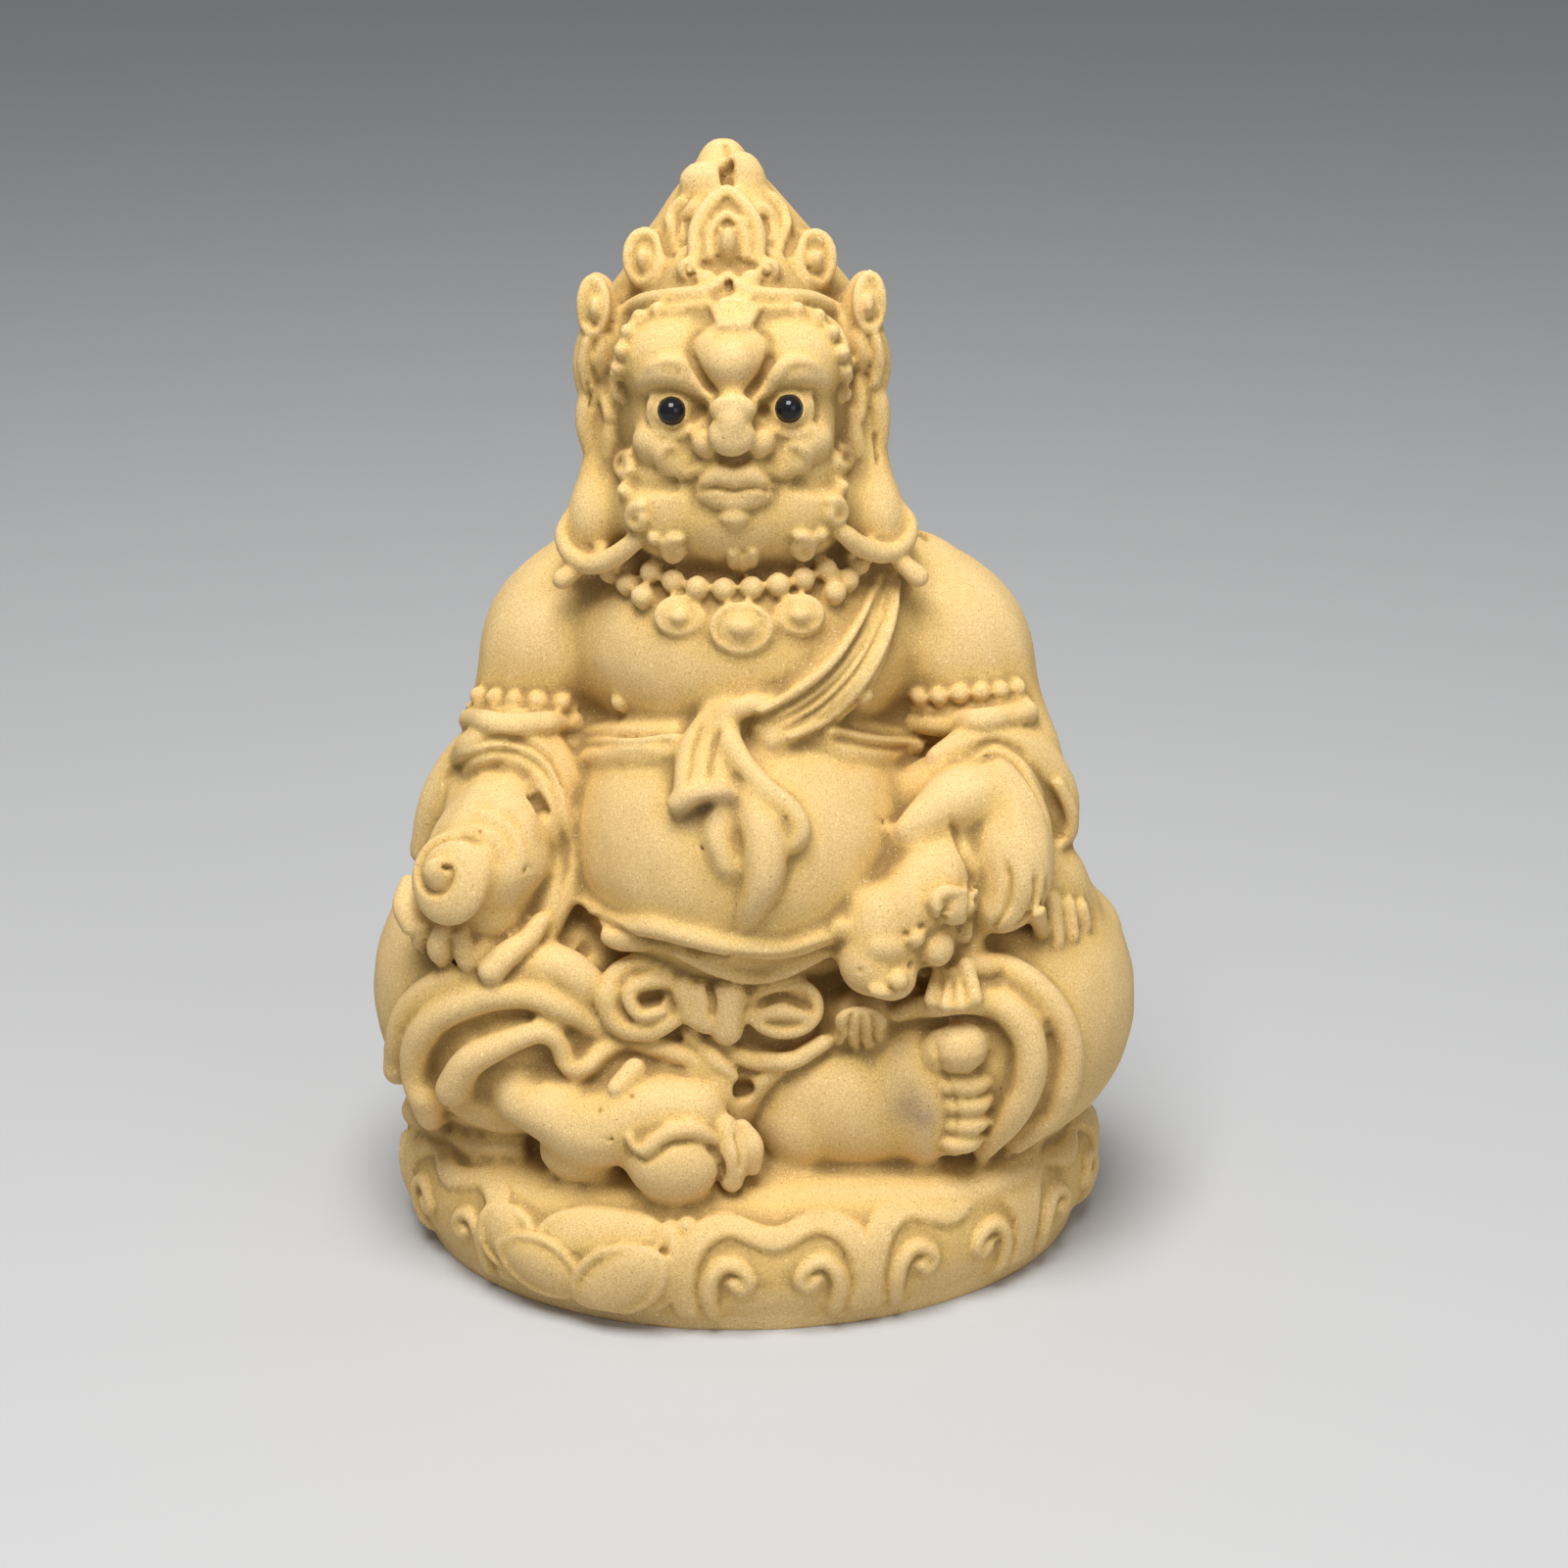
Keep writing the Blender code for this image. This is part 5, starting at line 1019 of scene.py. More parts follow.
def lay_eyes(clay, skin):
    for node, inner in (("left_eye_bead", 0.0), ("right_eye_bead", 180.0)):
        eyeball = eyeball_centre(node)
        clay.ball(eyeball, EYEBALL_RADIUS)
        hand = 1.0 if inner == 0.0 else -1.0
        lay_lid(clay, eyeball, inner + hand * 8.0, inner + hand * 176.0, 1.62, 0.45,
            [0.25, 0.42, 0.45, 0.36])
        lay_lid(clay, eyeball, inner - hand * 5.0, inner - hand * 176.0, 1.66, 0.25, [0.2, 0.4, 0.44, 0.36])
    for bag in (
            [(-8.1, 67.3), (-6.5, 66.6), (-4.8, 67.1), (-3.9, 67.7)],
            [(5.4, 67.4), (3.8, 66.7), (2.0, 67.1), (1.1, 67.7)]):
        clay.coil(skin.lay(bag, -0.05), [0.25, 0.4, 0.4, 0.25])


def lay_mask(clay, skin):
    # Bridge and tip of the nose, its wings and the wrinkle over it
    lay_pad(clay, skin, (-1.4, 68.7), (1.8, 0.8, 1.3), -0.15)
    clay.coil_on(skin, [(-1.4, 69.0, -0.6), (-1.5, 67.9, -0.25), (-1.5, 66.9, -0.3)], 1.25)
    lay_pad(clay, skin, (-1.5, 66.5), (1.8, 1.15, 1.65), -0.3)
    for wing in ((-3.5, 66.1), (0.7, 66.1)):
        lay_pad(clay, skin, wing, (1.15, 1.1, 1.1), 0.1, 0.0, 0.6)
    clay.coil(skin.lay([
        (-3.1, 68.8), (-2.2, 69.4), (-1.4, 69.6), (-0.5, 69.4), (0.4, 68.8)], 0.0), [0.3, 0.5, 0.3])
    clay.coil(skin.lay([(-2.7, 68.0), (-1.4, 68.5), (0.1, 68.0)], 0.0), [0.25, 0.4, 0.25])
    # Lips
    clay.coil(skin.lay([
        (-4.0, 62.4), (-3.3, 62.9), (-2.4, 63.4), (-1.3, 63.2), (-0.2, 63.4), (0.7, 62.9), (1.5, 62.4)],
        0.1), [0.4, 0.7, 0.85, 0.8, 0.85, 0.7, 0.4])
    clay.coil(skin.lay([
        (-3.6, 61.7), (-2.4, 61.4), (-1.2, 61.3), (-0.0, 61.4), (1.1, 61.7)], 0.1),
        [0.6, 0.8, 0.85, 0.8, 0.6])
    lay_pad(clay, skin, (-1.3, 62.3), (2.5, 0.7, 1.0), 0.0)
    clay.ball(skin.on((-1.3, 59.9), -0.1), (1.15, 0.9, 0.85))
    # Moustache: two curls that roll up on the cheeks
    curl = [
        (-2.9, 64.8), (-4.1, 64.0), (-5.5, 63.6), (-6.8, 63.9), (-7.4, 64.8), (-6.9, 65.7), (-6.0, 65.7)]
    for path in (curl, mirrored(curl, FACE_MIDDLE)):
        clay.coil(skin.lay(path, -0.12), [0.5, 0.62, 0.66, 0.62, 0.55, 0.45, 0.35])
    for cheek in ((-6.0, 64.8), mirrored([(-6.0, 64.8)], FACE_MIDDLE)[0]):
        lay_pad(clay, skin, cheek, (1.7, 0.5, 1.4), -0.12)
    # Furrowed brow ridges that run down beside the boss
    ridge = [(-8.5, 72.1), (-7.2, 72.7), (-5.9, 72.7), (-5.0, 71.8), (-4.3, 70.7), (-3.2, 69.7)]
    for path in (ridge, mirrored(ridge, FACE_MIDDLE)):
        clay.coil(skin.lay(path, -0.1), [0.25, 0.5, 0.6, 0.6, 0.5, 0.3])
    # Jaw curls
    for spot, hand in (
            ((-10.0, 64.0), 1.0), ((7.4, 64.6), -1.0), ((-9.1, 59.9), 1.0), ((6.9, 60.3), -1.0),
            ((-6.2, 57.3), 1.0), ((4.3, 57.5), -1.0)):
        clay.coil(skin.lay(spiral(spot, hand * 0.8, 1.0, 1.1, 1.2, 0.35), 0.15, 0.5), [0.48, 0.45, 0.35])
    for spot in ((-10.3, 62.1), (7.5, 62.4), (-7.8, 58.2), (5.8, 58.5)):
        clay.ball(skin.on(spot, 0.0), 0.62)
    for spot in ((-1.4, 56.5), (-0.6, 56.2), (0.2, 56.6)):
        clay.coil([skin.on(moved(spot, 0.0, 0.5), 0.1), skin.on(moved(spot, 0.0, -0.5), 0.1)], [0.45, 0.35])


print("eyeballs at", [[round(value, 1) for value in eyeball_centre(side + "_eye_bead")]
                      for side in ("left", "right")])

# %% [markdown]
# The crown has five leaves on a double band. Each leaf is an arch or a ring round a boss, with small
# scrolls at its foot. A fringe of tight curls shows between the band and the brow, as a row of beads.

# %% Crown, ears and ribbons


def lay_leaves(clay, skin):
    # Middle leaf
    clay.coil(skin.lay([
        (-4.3, 80.9), (-4.3, 83.3), (-3.3, 85.3), (-1.9, 86.3), (-0.5, 85.3), (0.5, 83.3), (0.5, 80.9)],
        0.2), [0.62, 0.62, 0.66, 0.62, 0.62])
    clay.coil(skin.lay([
        (-3.2, 81.2), (-3.2, 83.0), (-2.6, 84.1), (-1.9, 84.6), (-1.1, 84.1), (-0.5, 83.0), (-0.4, 81.2)],
        0.3, 0.8), 0.36)
    lay_pad(clay, skin, (-1.8, 82.1), (0.75, 1.0, 1.6), 0.25)
    for spot in ((-4.9, 80.0), (1.4, 80.0)):
        lay_pad(clay, skin, spot, (1.0, 0.9, 1.0), 0.3, 0.0, 0.8)
    for spot in ((-3.6, 79.4), (0.1, 79.4)):
        lay_pad(clay, skin, spot, (0.75, 0.7, 0.6), 0.15, 0.0, 0.6)
    # Side leaves
    for spot, lean in (((-8.6, 81.2), 8.0), ((5.3, 81.1), -8.0)):
        clay.coil(skin.lay(ring(spot, 1.35, 2.0), 0.1, 0.6), 0.46)
        lay_pad(clay, skin, moved(spot, 0.0, -0.25), (0.6, 0.7, 1.0), 0.1, lean)
    # Far leaves, seen from the side
    for side, spot in ((-1.0, (-12.8, 77.2)), (1.0, (9.8, 77.5))):
        clay.coil(skin.lay(ring(spot, 0.95, 2.2), 0.1, 0.6), 0.42)
        clay.ball(skin.on(moved(spot, -side * 0.1, -0.2), 0.1), (0.45, 0.6, 0.9))
        rib = [
            moved(spot, -side * 0.9, -2.6), moved(spot, -side * 0.5, -4.4), moved(spot, -side * 0.9, -6.2)]
        clay.coil(skin.lay(rib, 0.1), [0.4, 0.6, 0.5])
        rib = [moved(spot, side * 0.5, -2.8), moved(spot, side * 0.8, -4.6), moved(spot, side * 0.4, -6.6)]
        clay.coil(skin.lay(rib, 0.1), [0.4, 0.55, 0.5])


def lay_band(clay, skin):
    left = [
        (-1.8, 79.5), (-3.6, 78.4), (-6.0, 78.0), (-8.7, 77.5), (-10.3, 76.3), (-11.1, 74.2), (-11.5, 72.1),
        (-11.6, 70.2), (-11.3, 68.2)]
    right = [
        (-1.8, 79.5), (-0.2, 78.4), (2.0, 78.0), (5.0, 77.7), (7.5, 76.3), (8.3, 74.2), (8.9, 72.1),
        (9.1, 70.2), (8.8, 68.2)]
    for side, band in ((-1.0, left), (1.0, right)):
        clay.coil(skin.lay(band, 0.15), [0.5, 0.62, 0.66, 0.66, 0.6])
        inner = [moved(spot, -side * 0.45, -0.95) for spot in band[1:8]]
        clay.coil(skin.lay(inner, 0.05), [0.3, 0.4, 0.42, 0.4, 0.3])
    # Fan of five petals over the brow
    for top, foot in (
            ((-2.7, 76.8), (-2.3, 75.5)), ((-2.0, 77.4), (-1.9, 75.5)), ((-1.2, 77.6), (-1.3, 75.5)),
            ((-0.4, 77.4), (-0.7, 75.5)), ((0.3, 76.8), (-0.3, 75.5))):
        clay.coil([skin.on(top, 0.25), skin.on(foot, 0.1)], [0.5, 0.42])
    # Fringe of tight curls
    left = [
        (-7.5, 76.7), (-8.8, 76.2), (-9.7, 75.2), (-10.2, 74.0), (-10.5, 72.7), (-10.6, 71.4),
        (-10.4, 70.0)]
    right = [(3.8, 76.7), (5.3, 76.3), (6.4, 75.2), (7.2, 74.0), (7.5, 72.7), (7.6, 71.4), (7.5, 70.0)]
    for fringe in (left, right):
        clay.solid(bead_row(skin.lay(fringe, 0.25), 8, 0.62))


def lay_ears(clay, skin):
    left = [(-12.0, 70.5), (-13.1, 69.7), (-13.4, 67.6), (-12.8, 65.2), (-12.3, 63.1)]
    right = [(9.5, 70.5), (10.4, 69.7), (10.6, 67.6), (10.3, 65.2), (10.0, 63.2)]
    for side, ear in ((-1.0, left), (1.0, right)):
        clay.coil([at(spot, -3.2) for spot in ear], [0.7, 0.9, 0.9, 0.85, 0.7])
        clay.coil([
            at(moved(ear[1], -side * 1.9, -1.0), -4.2), at(moved(ear[2], -side * 2.0, -1.0), -4.6),
            at(moved(ear[3], -side * 1.3, 0.0), -4.8)], [0.5, 0.7, 0.5])


def lay_ribbons(clay, skin):
    """Ribbon loops that hang from the lobes to the shoulders."""
    left_loop = [
        ((-14.6, 60.0), -5.0), ((-15.2, 58.5), -5.6), ((-14.7, 57.0), -6.6), ((-13.2, 56.1), -7.6),
        ((-11.4, 56.5), -8.6), ((-9.6, 57.8), -9.4), ((-8.8, 58.7), -9.6)]
    right_loop = [
        ((12.3, 60.5), -5.0), ((13.0, 59.2), -5.4), ((12.6, 57.8), -6.4), ((11.0, 57.0), -7.6),
        ((9.1, 57.5), -8.8), ((7.8, 58.5), -9.6), ((6.9, 59.2), -9.8)]
    for loop in (left_loop, right_loop):
        clay.coil([at(spot, depth) for spot, depth in loop], [0.7, 0.85, 0.9, 0.9, 0.8, 0.6])
    clay.coil_at([(-14.1, 55.8, -7.0), (-15.4, 54.8, -7.2)], [0.7, 0.85])
    clay.coil_at([(12.3, 56.3, -7.0), (13.8, 55.0, -7.0)], [0.7, 0.9])
    for spot in ((-12.2, 57.5), (10.0, 57.9)):
        clay.ball(skin.on(spot, 0.1), 0.6)


print("the fringe has two rows of tight curls")

# %% [markdown]
# Jewels: a necklace of beads with three pendants, and on each arm a band with a row of beads. The bead rows
# come from the node tree above, laid along lines on the skin.

# %% Necklace and armlets
NECKLACE_BEAD_RADIUS = 0.94
ARMLET_BEAD_RADIUS = 0.80


def lay_jewels(clay, skin):
    inner = [
        (-7.7, 55.3), (-6.0, 54.4), (-4.1, 53.8), (-1.9, 53.7), (0.2, 53.8), (2.3, 54.1), (4.2, 54.6),
        (5.9, 55.4)]
    clay.solid(bead_row(skin.lay(inner, 0.65), 8, NECKLACE_BEAD_RADIUS))
    for outer in ([(-11.1, 55.5), (-9.8, 54.3), (-8.5, 53.2)], [(8.7, 56.2), (8.0, 54.8), (6.7, 53.5)]):
        clay.solid(bead_row([skin.on(spot, 0.6) for spot in outer], 3, NECKLACE_BEAD_RADIUS))
    for spot, wide, high in PENDANTS:
        clay.coil(skin.lay(ring(spot, wide * 0.82, high * 0.82, 17), 0.1, 0.6), 0.32)
        clay.coil(skin.lay(ring(spot, wide * 0.5, high * 0.5, 13), 0.05, 0.5), 0.24)
        lay_pad(clay, skin, spot, (wide * 0.36, 0.7, high * 0.36), 0.1, 0.0, 0.5)
    for spot in ((-10.7, 44.7), (9.4, 45.2)):
        clay.ball(skin.on(spot, -0.15), 0.8)
    # Armlets
    clay.rolls(skin, [
        ([(-22.8, 43.2), (-20.5, 42.7), (-17.7, 42.7), (-14.6, 43.2)], 0.2, [0.95, 1.05, 1.05, 0.9]),
        ([(13.6, 43.2), (16.5, 42.9), (19.7, 43.1), (22.6, 43.9)], 0.2, [0.9, 1.05, 1.05, 1.0]),
        ([(-22.9, 44.3), (-20.5, 43.9), (-17.7, 43.8), (-14.6, 44.3)], 0.1, 0.4),
        ([(13.6, 44.4), (16.5, 44.0), (19.7, 44.3), (22.6, 44.9)], 0.1, 0.4)])
    left = [(-22.1, 45.2), (-20.6, 45.0), (-19.1, 44.9), (-17.3, 44.8), (-15.5, 44.8)]
    right = [(14.0, 45.3), (15.5, 45.3), (17.2, 45.5), (18.9, 45.6), (20.4, 45.7), (21.8, 45.9)]
    for line in (left, right):
        clay.solid(bead_row([skin.on(spot, 0.1) for spot in line], len(line), ARMLET_BEAD_RADIUS))


print("the necklace bead is", NECKLACE_BEAD_RADIUS * 2.0, "modules across")

# %% [markdown]
# The hands and the small animal are laid on next. The left hand holds a spiral shell from below, so only
# its fingertips show. The right hand rests on the animal, whose head turns down beside the knee.

# %% Hands, shell and animal


def lay_shell_hand(clay, skin):
    clay.ball(skin.on((-25.7, 30.8), 0.0), (1.1, 0.6, 1.2))
    # Fingers under the shell
    clay.coil_at([(-28.0, 29.8, -11.8), (-28.2, 28.0, -13.4), (-27.8, 26.4, -14.2)], [0.8, 1.15, 0.9])
    clay.coil_on(skin, [(-26.7, 26.3, 0.3), (-26.9, 25.5, 0.4), (-26.6, 24.7, 0.3)], [0.5, 0.65, 0.5])
    clay.coil_on(skin, [(-25.2, 26.0, 0.4), (-25.3, 25.0, 0.6), (-24.7, 23.9, 0.5)], [0.75, 1.0, 0.85])
    clay.coil_on(skin, [
        (-23.6, 25.7, 0.5), (-22.9, 24.5, 0.8), (-21.6, 24.5, 0.7), (-19.9, 25.0, 0.3)],
        [0.7, 1.25, 1.1, 0.4])


def lay_sleeve_ends(clay, skin):
    """Where the sleeves end: a rounded lip under the shell and a flared lip behind the right hand."""
    clay.coil_on(skin, [
        (-17.1, 26.7, 0.2), (-18.3, 25.1, 0.4), (-20.0, 23.7, 0.6), (-21.0, 22.7, 0.6)],
        [0.8, 0.95, 1.1, 1.15])
    clay.coil(skin.lay([(25.3, 38.0), (26.2, 35.9), (26.1, 34.0), (25.3, 33.0)], 0.0), [0.5, 0.7, 0.7, 0.5])


def lay_animal(clay, skin):
    # Ear: a leaf with a hollow in it
    lay_pad(clay, skin, (16.7, 28.0), (1.7, 1.0, 1.5), 0.3, 10.0)
    clay.coil(skin.lay([
        (15.3, 27.5), (15.0, 28.5), (15.8, 29.2), (17.1, 29.1), (17.9, 29.3)], 0.5),
        [0.5, 0.6, 0.6, 0.55, 0.45])
    clay.coil(skin.lay([(17.7, 28.4), (17.4, 26.9), (17.3, 25.6)], 0.4), [0.6, 0.7, 0.65])
    # Eye, cheek, brow and muzzle
    lay_pads(clay, skin, [
        ((13.6, 25.4), (0.75, 0.6, 0.75), 0.1, 0.0, 0.6), ((15.4, 24.6), (1.4, 1.3, 1.6), -0.1),
        ((11.2, 24.3), (1.7, 0.9, 1.4), -0.5), ((12.2, 21.8), (0.8, 0.7, 0.8), 0.0),
        ((10.8, 21.0), (1.0, 0.7, 0.65), -0.1)])
    # Front paws, flat and spread
    lay_pad(clay, skin, (16.6, 21.8), (2.0, 0.6, 1.5), -0.2)
    for toe, lean in (((14.9, 20.3), 0.9), ((16.1, 19.9), 0.3), ((17.3, 19.9), -0.2), ((18.5, 20.4), -0.8)):
        clay.coil([skin.on(moved(toe, lean, 2.8), -0.1), skin.on(toe, 0.0)], [0.66, 0.66])
    lay_pad(clay, skin, (9.1, 18.5), (2.1, 0.8, 1.7), 0.0)
    # Hind paw on the thigh
    for toe, length in (((23.9, 25.8), 2.0), ((25.2, 25.1), 3.3), ((26.4, 25.5), 2.6), ((27.4, 26.3), 1.6)):
        clay.coil([skin.on(moved(toe, -0.5, length), 0.1), skin.on(toe, 0.1)], [0.82, 0.62])


print("the front paws lie flat and spread, and the hind paw rests on the thigh")

# %% [markdown]
# The feet: the left foot lies across the front with its toes round a small shell, and the right sole is
# turned up to show its five toes. The bow of the belt and the tails of the sash lie above them.

# %% Feet, bow and cloth edges


def lay_feet(clay, skin):
    clay.coil_on(skin, [(-10.9, 12.9, 0.2), (-9.4, 14.4, 0.4)], [0.8, 0.95])
    # Toes of the left foot
    clay.coil_at([(-2.2, 9.9, -19.2), (-1.4, 7.8, -19.8), (-1.5, 5.5, -19.8)], [1.15, 1.3, 1.0])
    clay.coil_at([(-0.7, 9.7, -18.6), (0.2, 8.3, -19.1), (0.2, 6.6, -19.1)], [0.85, 0.95, 0.75])
    # Small shell under the foot: a lip that dips and rises over its round body
    clay.coil(skin.lay([
        (-9.9, 9.1), (-9.3, 8.3), (-8.5, 8.0), (-7.5, 8.9), (-6.2, 9.6), (-4.6, 9.7), (-3.2, 8.9)], 0.15,
        0.8), [0.35, 0.55, 0.65, 0.75, 0.85, 0.8, 0.6])
    # Toes of the right foot
    clay.coil_at([(15.7, 16.1, -16.4), (17.4, 16.5, -17.3)], [1.9, 2.15])
    for spot, wide, high in (
            ((17.4, 13.6), 2.3, 1.2), ((17.6, 12.0), 2.2, 1.15), ((17.6, 10.4), 2.0, 1.15),
            ((17.2, 8.9), 1.9, 1.1)):
        clay.ball(at(spot, -17.0), (wide, 1.7, high))


def lay_bow(clay, skin):
    # Left loop rolled in on itself, two knots, right loop
    clay.coil(skin.lay([
        (-5.4, 21.8), (-7.5, 23.1), (-10.2, 22.7), (-11.8, 20.6), (-10.5, 18.4), (-8.0, 18.0),
        (-6.0, 19.2)], 0.2), [0.7, 0.9, 1.0, 1.0, 0.8])
    clay.coil(skin.lay([
        (-6.0, 19.2), (-5.7, 20.8), (-7.2, 21.8), (-9.3, 21.4), (-9.7, 20.2), (-8.8, 19.2), (-7.3, 19.5)],
        0.4, 0.8), [0.7, 0.72, 0.68, 0.5])
    clay.coil_on(skin, [(-5.1, 21.9, 0.8), (-4.3, 19.5, 0.8)], [1.2, 1.3])
    clay.coil_on(skin, [(-4.0, 21.8, 1.1), (-3.5, 19.0, 1.0)], [1.0, 1.1])
    clay.coil_on(skin, [(-1.7, 21.4, 0.8), (-1.9, 18.4, 0.8)], [1.5, 1.4])
    clay.coil(skin.lay(ring((2.8, 19.7), 2.6, 1.9, 13), 0.2), 0.6)
    clay.coil(skin.lay([(0.7, 19.0), (2.5, 19.4), (4.4, 19.0)], 0.2), [0.5, 0.7, 0.5])
    # Tails of the bow
    clay.coil(skin.lay([(-4.8, 17.7), (-3.5, 15.7), (-1.5, 13.9)], 0.2), [0.8, 0.85, 0.5])
    clay.coil(skin.lay([(-2.8, 17.4), (-0.7, 15.7), (2.8, 15.2), (6.0, 16.8)], 0.2), [0.7, 0.85, 0.7])


def lay_cloth_edges(clay, skin):
    # Chest band: an upper and a lower ridge on each side
    for edge in (
            [(-14.6, 41.1), (-12.3, 41.1), (-9.3, 41.1), (-6.0, 41.5)],
            [(6.5, 42.2), (10.0, 41.4), (13.7, 41.1)]):
        clay.coil(skin.lay(edge, 0.1), 0.6)
    # Edges of the sash
    for edge in SASH_EDGES:
        clay.coil(skin.lay(edge, 0.1), [0.25, 0.42, 0.42, 0.35])


print("the toes, the bow and the edges of the cloth are ready to lay")

# %% [markdown]
# Scroll clouds repeat round the seat. Each is a broad flat arch over a pair of scrolls that curl outwards.
# Where the front turns to the left, a spray of pointed leaves takes the place of one cloud.

# %% Relief on the seat
# The leaves of the spray, the hindmost first: across, climb, half length, half height, tilt in degrees
LEAVES = (
    (1.2, 8.0, 5.2, 2.4, 6.0), (-7.0, 5.8, 3.0, 2.6, -40.0), (-3.6, 4.4, 3.9, 2.5, -12.0),
    (3.1, 4.6, 4.2, 2.7, 34.0))
LEAF_THICKNESS = 0.8
LEAF_RIM = 0.42
LEAF_RIM_LIFT = 0.35


def lay_clouds(clay, wall):
    pitch = wall.girth / CLOUD_COUNT
    arch = [
        (-7.5, 1.0), (-7.9, 4.6), (-6.9, 8.4), (-4.1, 10.2), (0.0, 8.8), (4.1, 10.2), (6.9, 8.4),
        (7.9, 4.6), (7.5, 1.0)]
    scroll = [
        (4.9, 0.8), (5.2, 3.4), (4.8, 5.4), (3.7, 6.3), (2.5, 5.8), (2.0, 4.8), (2.7, 4.1), (3.2, 4.7)]
    for index in range(CLOUD_COUNT):
        if index in LEAF_PLACES:
            continue
        middle = index * pitch + CLOUD_START
        for widen in (0.88, 0.94, 1.0):
            band = [(across * widen, 1.0 + (climb - 1.0) * widen) for across, climb in arch]
            clay.coil(wall.lay(band, -0.2, 1.0, middle), 0.66)
        for mirror in (-1.0, 1.0):
            clay.coil(wall.lay(scroll, 0.0, mirror, middle), [0.68, 0.68, 0.7, 0.68, 0.62, 0.58, 0.6, 0.62])


def wall_pad(clay, wall, along, climb, radii, tilt, lift):
    """An oval pad that lies flat on the wall. Its radii are along, thick and up."""
    middle = wall.at(along, climb)
    side = (wall.at(along + 1.0, climb) - wall.at(along - 1.0, climb)).normalized()
    rise = (wall.at(along, climb + 1.0) - wall.at(along, climb - 1.0)).normalized()
    normal = side.cross(rise).normalized()
    lean = math.radians(tilt)
    long_side = side * math.cos(lean) + rise * math.sin(lean)
    turn = turn_to(long_side, normal, long_side.cross(normal) * -1.0)
    clay.ball(middle + normal * lift, radii, turn=turn)


def lay_leaf_spray(clay, wall):
    """Overlapping pointed leaves, the hindmost first, each with a raised rim."""
    middle = LEAF_PLACES[0] * wall.girth / CLOUD_COUNT + CLOUD_START
    for order, (across, climb, wide, high, tilt) in enumerate(LEAVES):
        lift = 0.3 * order - 0.2
        wall_pad(clay, wall, middle + across, climb, (wide * 0.94, LEAF_THICKNESS, high * 0.84), tilt, lift)
        lean = math.radians(tilt)
        rim = []
        for share in np.linspace(0.0, 2.0 * math.pi, 17):
            along = wide * math.cos(share)
            up = high * math.sin(share) * abs(math.sin(share)) ** 0.4
            rim.append((middle + across + along * math.cos(lean) - up * math.sin(lean),
                climb + along * math.sin(lean) + up * math.cos(lean)))
        clay.coil(wall.lay(rim, lift + LEAF_RIM_LIFT), LEAF_RIM)
    edge = [(6.6, 9.4), (7.4, 7.4), (7.2, 5.0), (6.2, 2.8), (4.4, 1.2)]
    clay.coil(wall.lay(edge, -0.1, 1.0, middle), [0.6, 0.8, 0.8, 0.7, 0.5])
    clay.ball(wall.at(middle + 8.0, 9.6), 0.8)


print("clouds on the seat:", CLOUD_COUNT - len(LEAF_PLACES))

# %% [markdown]
# Now the ornament is fused on to the dressed figure, with a fine skin and hardly any rubbing, so that the
# small forms stay crisp.

# %% Fusing the ornament
heap = Clay()
dressed = Skin(dressed_skin)
for lay_forms in (lay_eyes, lay_mask, lay_leaves, lay_band, lay_ears, lay_ribbons, lay_jewels,
        lay_shell_hand, lay_sleeve_ends, lay_animal, lay_feet, lay_bow, lay_cloth_edges):
    lay_forms(heap, dressed)
for lay_relief in (lay_clouds, lay_leaf_spray):
    lay_relief(heap, base_wall)
heap.solid(dressed_skin)
detailed_skin = heap.fuse("detailed")
print("detailed skin has", len(detailed_skin.vertices), "points")

# %% [markdown]
# Last come the tool strokes: fine grooves and creases that a modelling needle leaves, and the small holes
# and cracks of this very statuette. A stroke with a negative height cuts in, a positive one raises.

# %% Fine strokes
# The grey stains: the middle of each on the drawing board, and its reach in metres
STAINS = (
    ((-5.2, 35.4), 0.0012), ((-4.1, 35.7), 0.0012), ((-3.0, 36.1), 0.0012), ((-1.9, 36.6), 0.0010),
    ((13.1, 11.5), 0.0018), ((14.1, 10.7), 0.0014))


def cut_face_lines(tool):
    # Round the boss, and under the brows to the inner corners of the eyes
    boss = [(-3.6, 75.5), (-4.8, 74.6), (-4.8, 73.2), (-4.1, 71.6), (-2.9, 70.0)]
    for path in (boss, mirrored(boss, BOSS_MIDDLE)):
        tool.line(path, 0.6, -0.25)
    for corner in ((-3.9, 68.7), (1.1, 68.7)):
        tool.dab(corner, 0.7, -0.35)
    tool.lines([
        ([(-4.1, 62.1), (-2.8, 62.2), (-1.3, 62.0), (0.2, 62.2), (1.6, 62.1)], 0.42, -0.35),
        ([(-10.1, 62.8), (-7.8, 62.4), (-5.7, 62.8)], 1.1, -0.35),
        ([(3.3, 62.8), (5.4, 62.4), (7.2, 63.1)], 1.1, -0.35)])


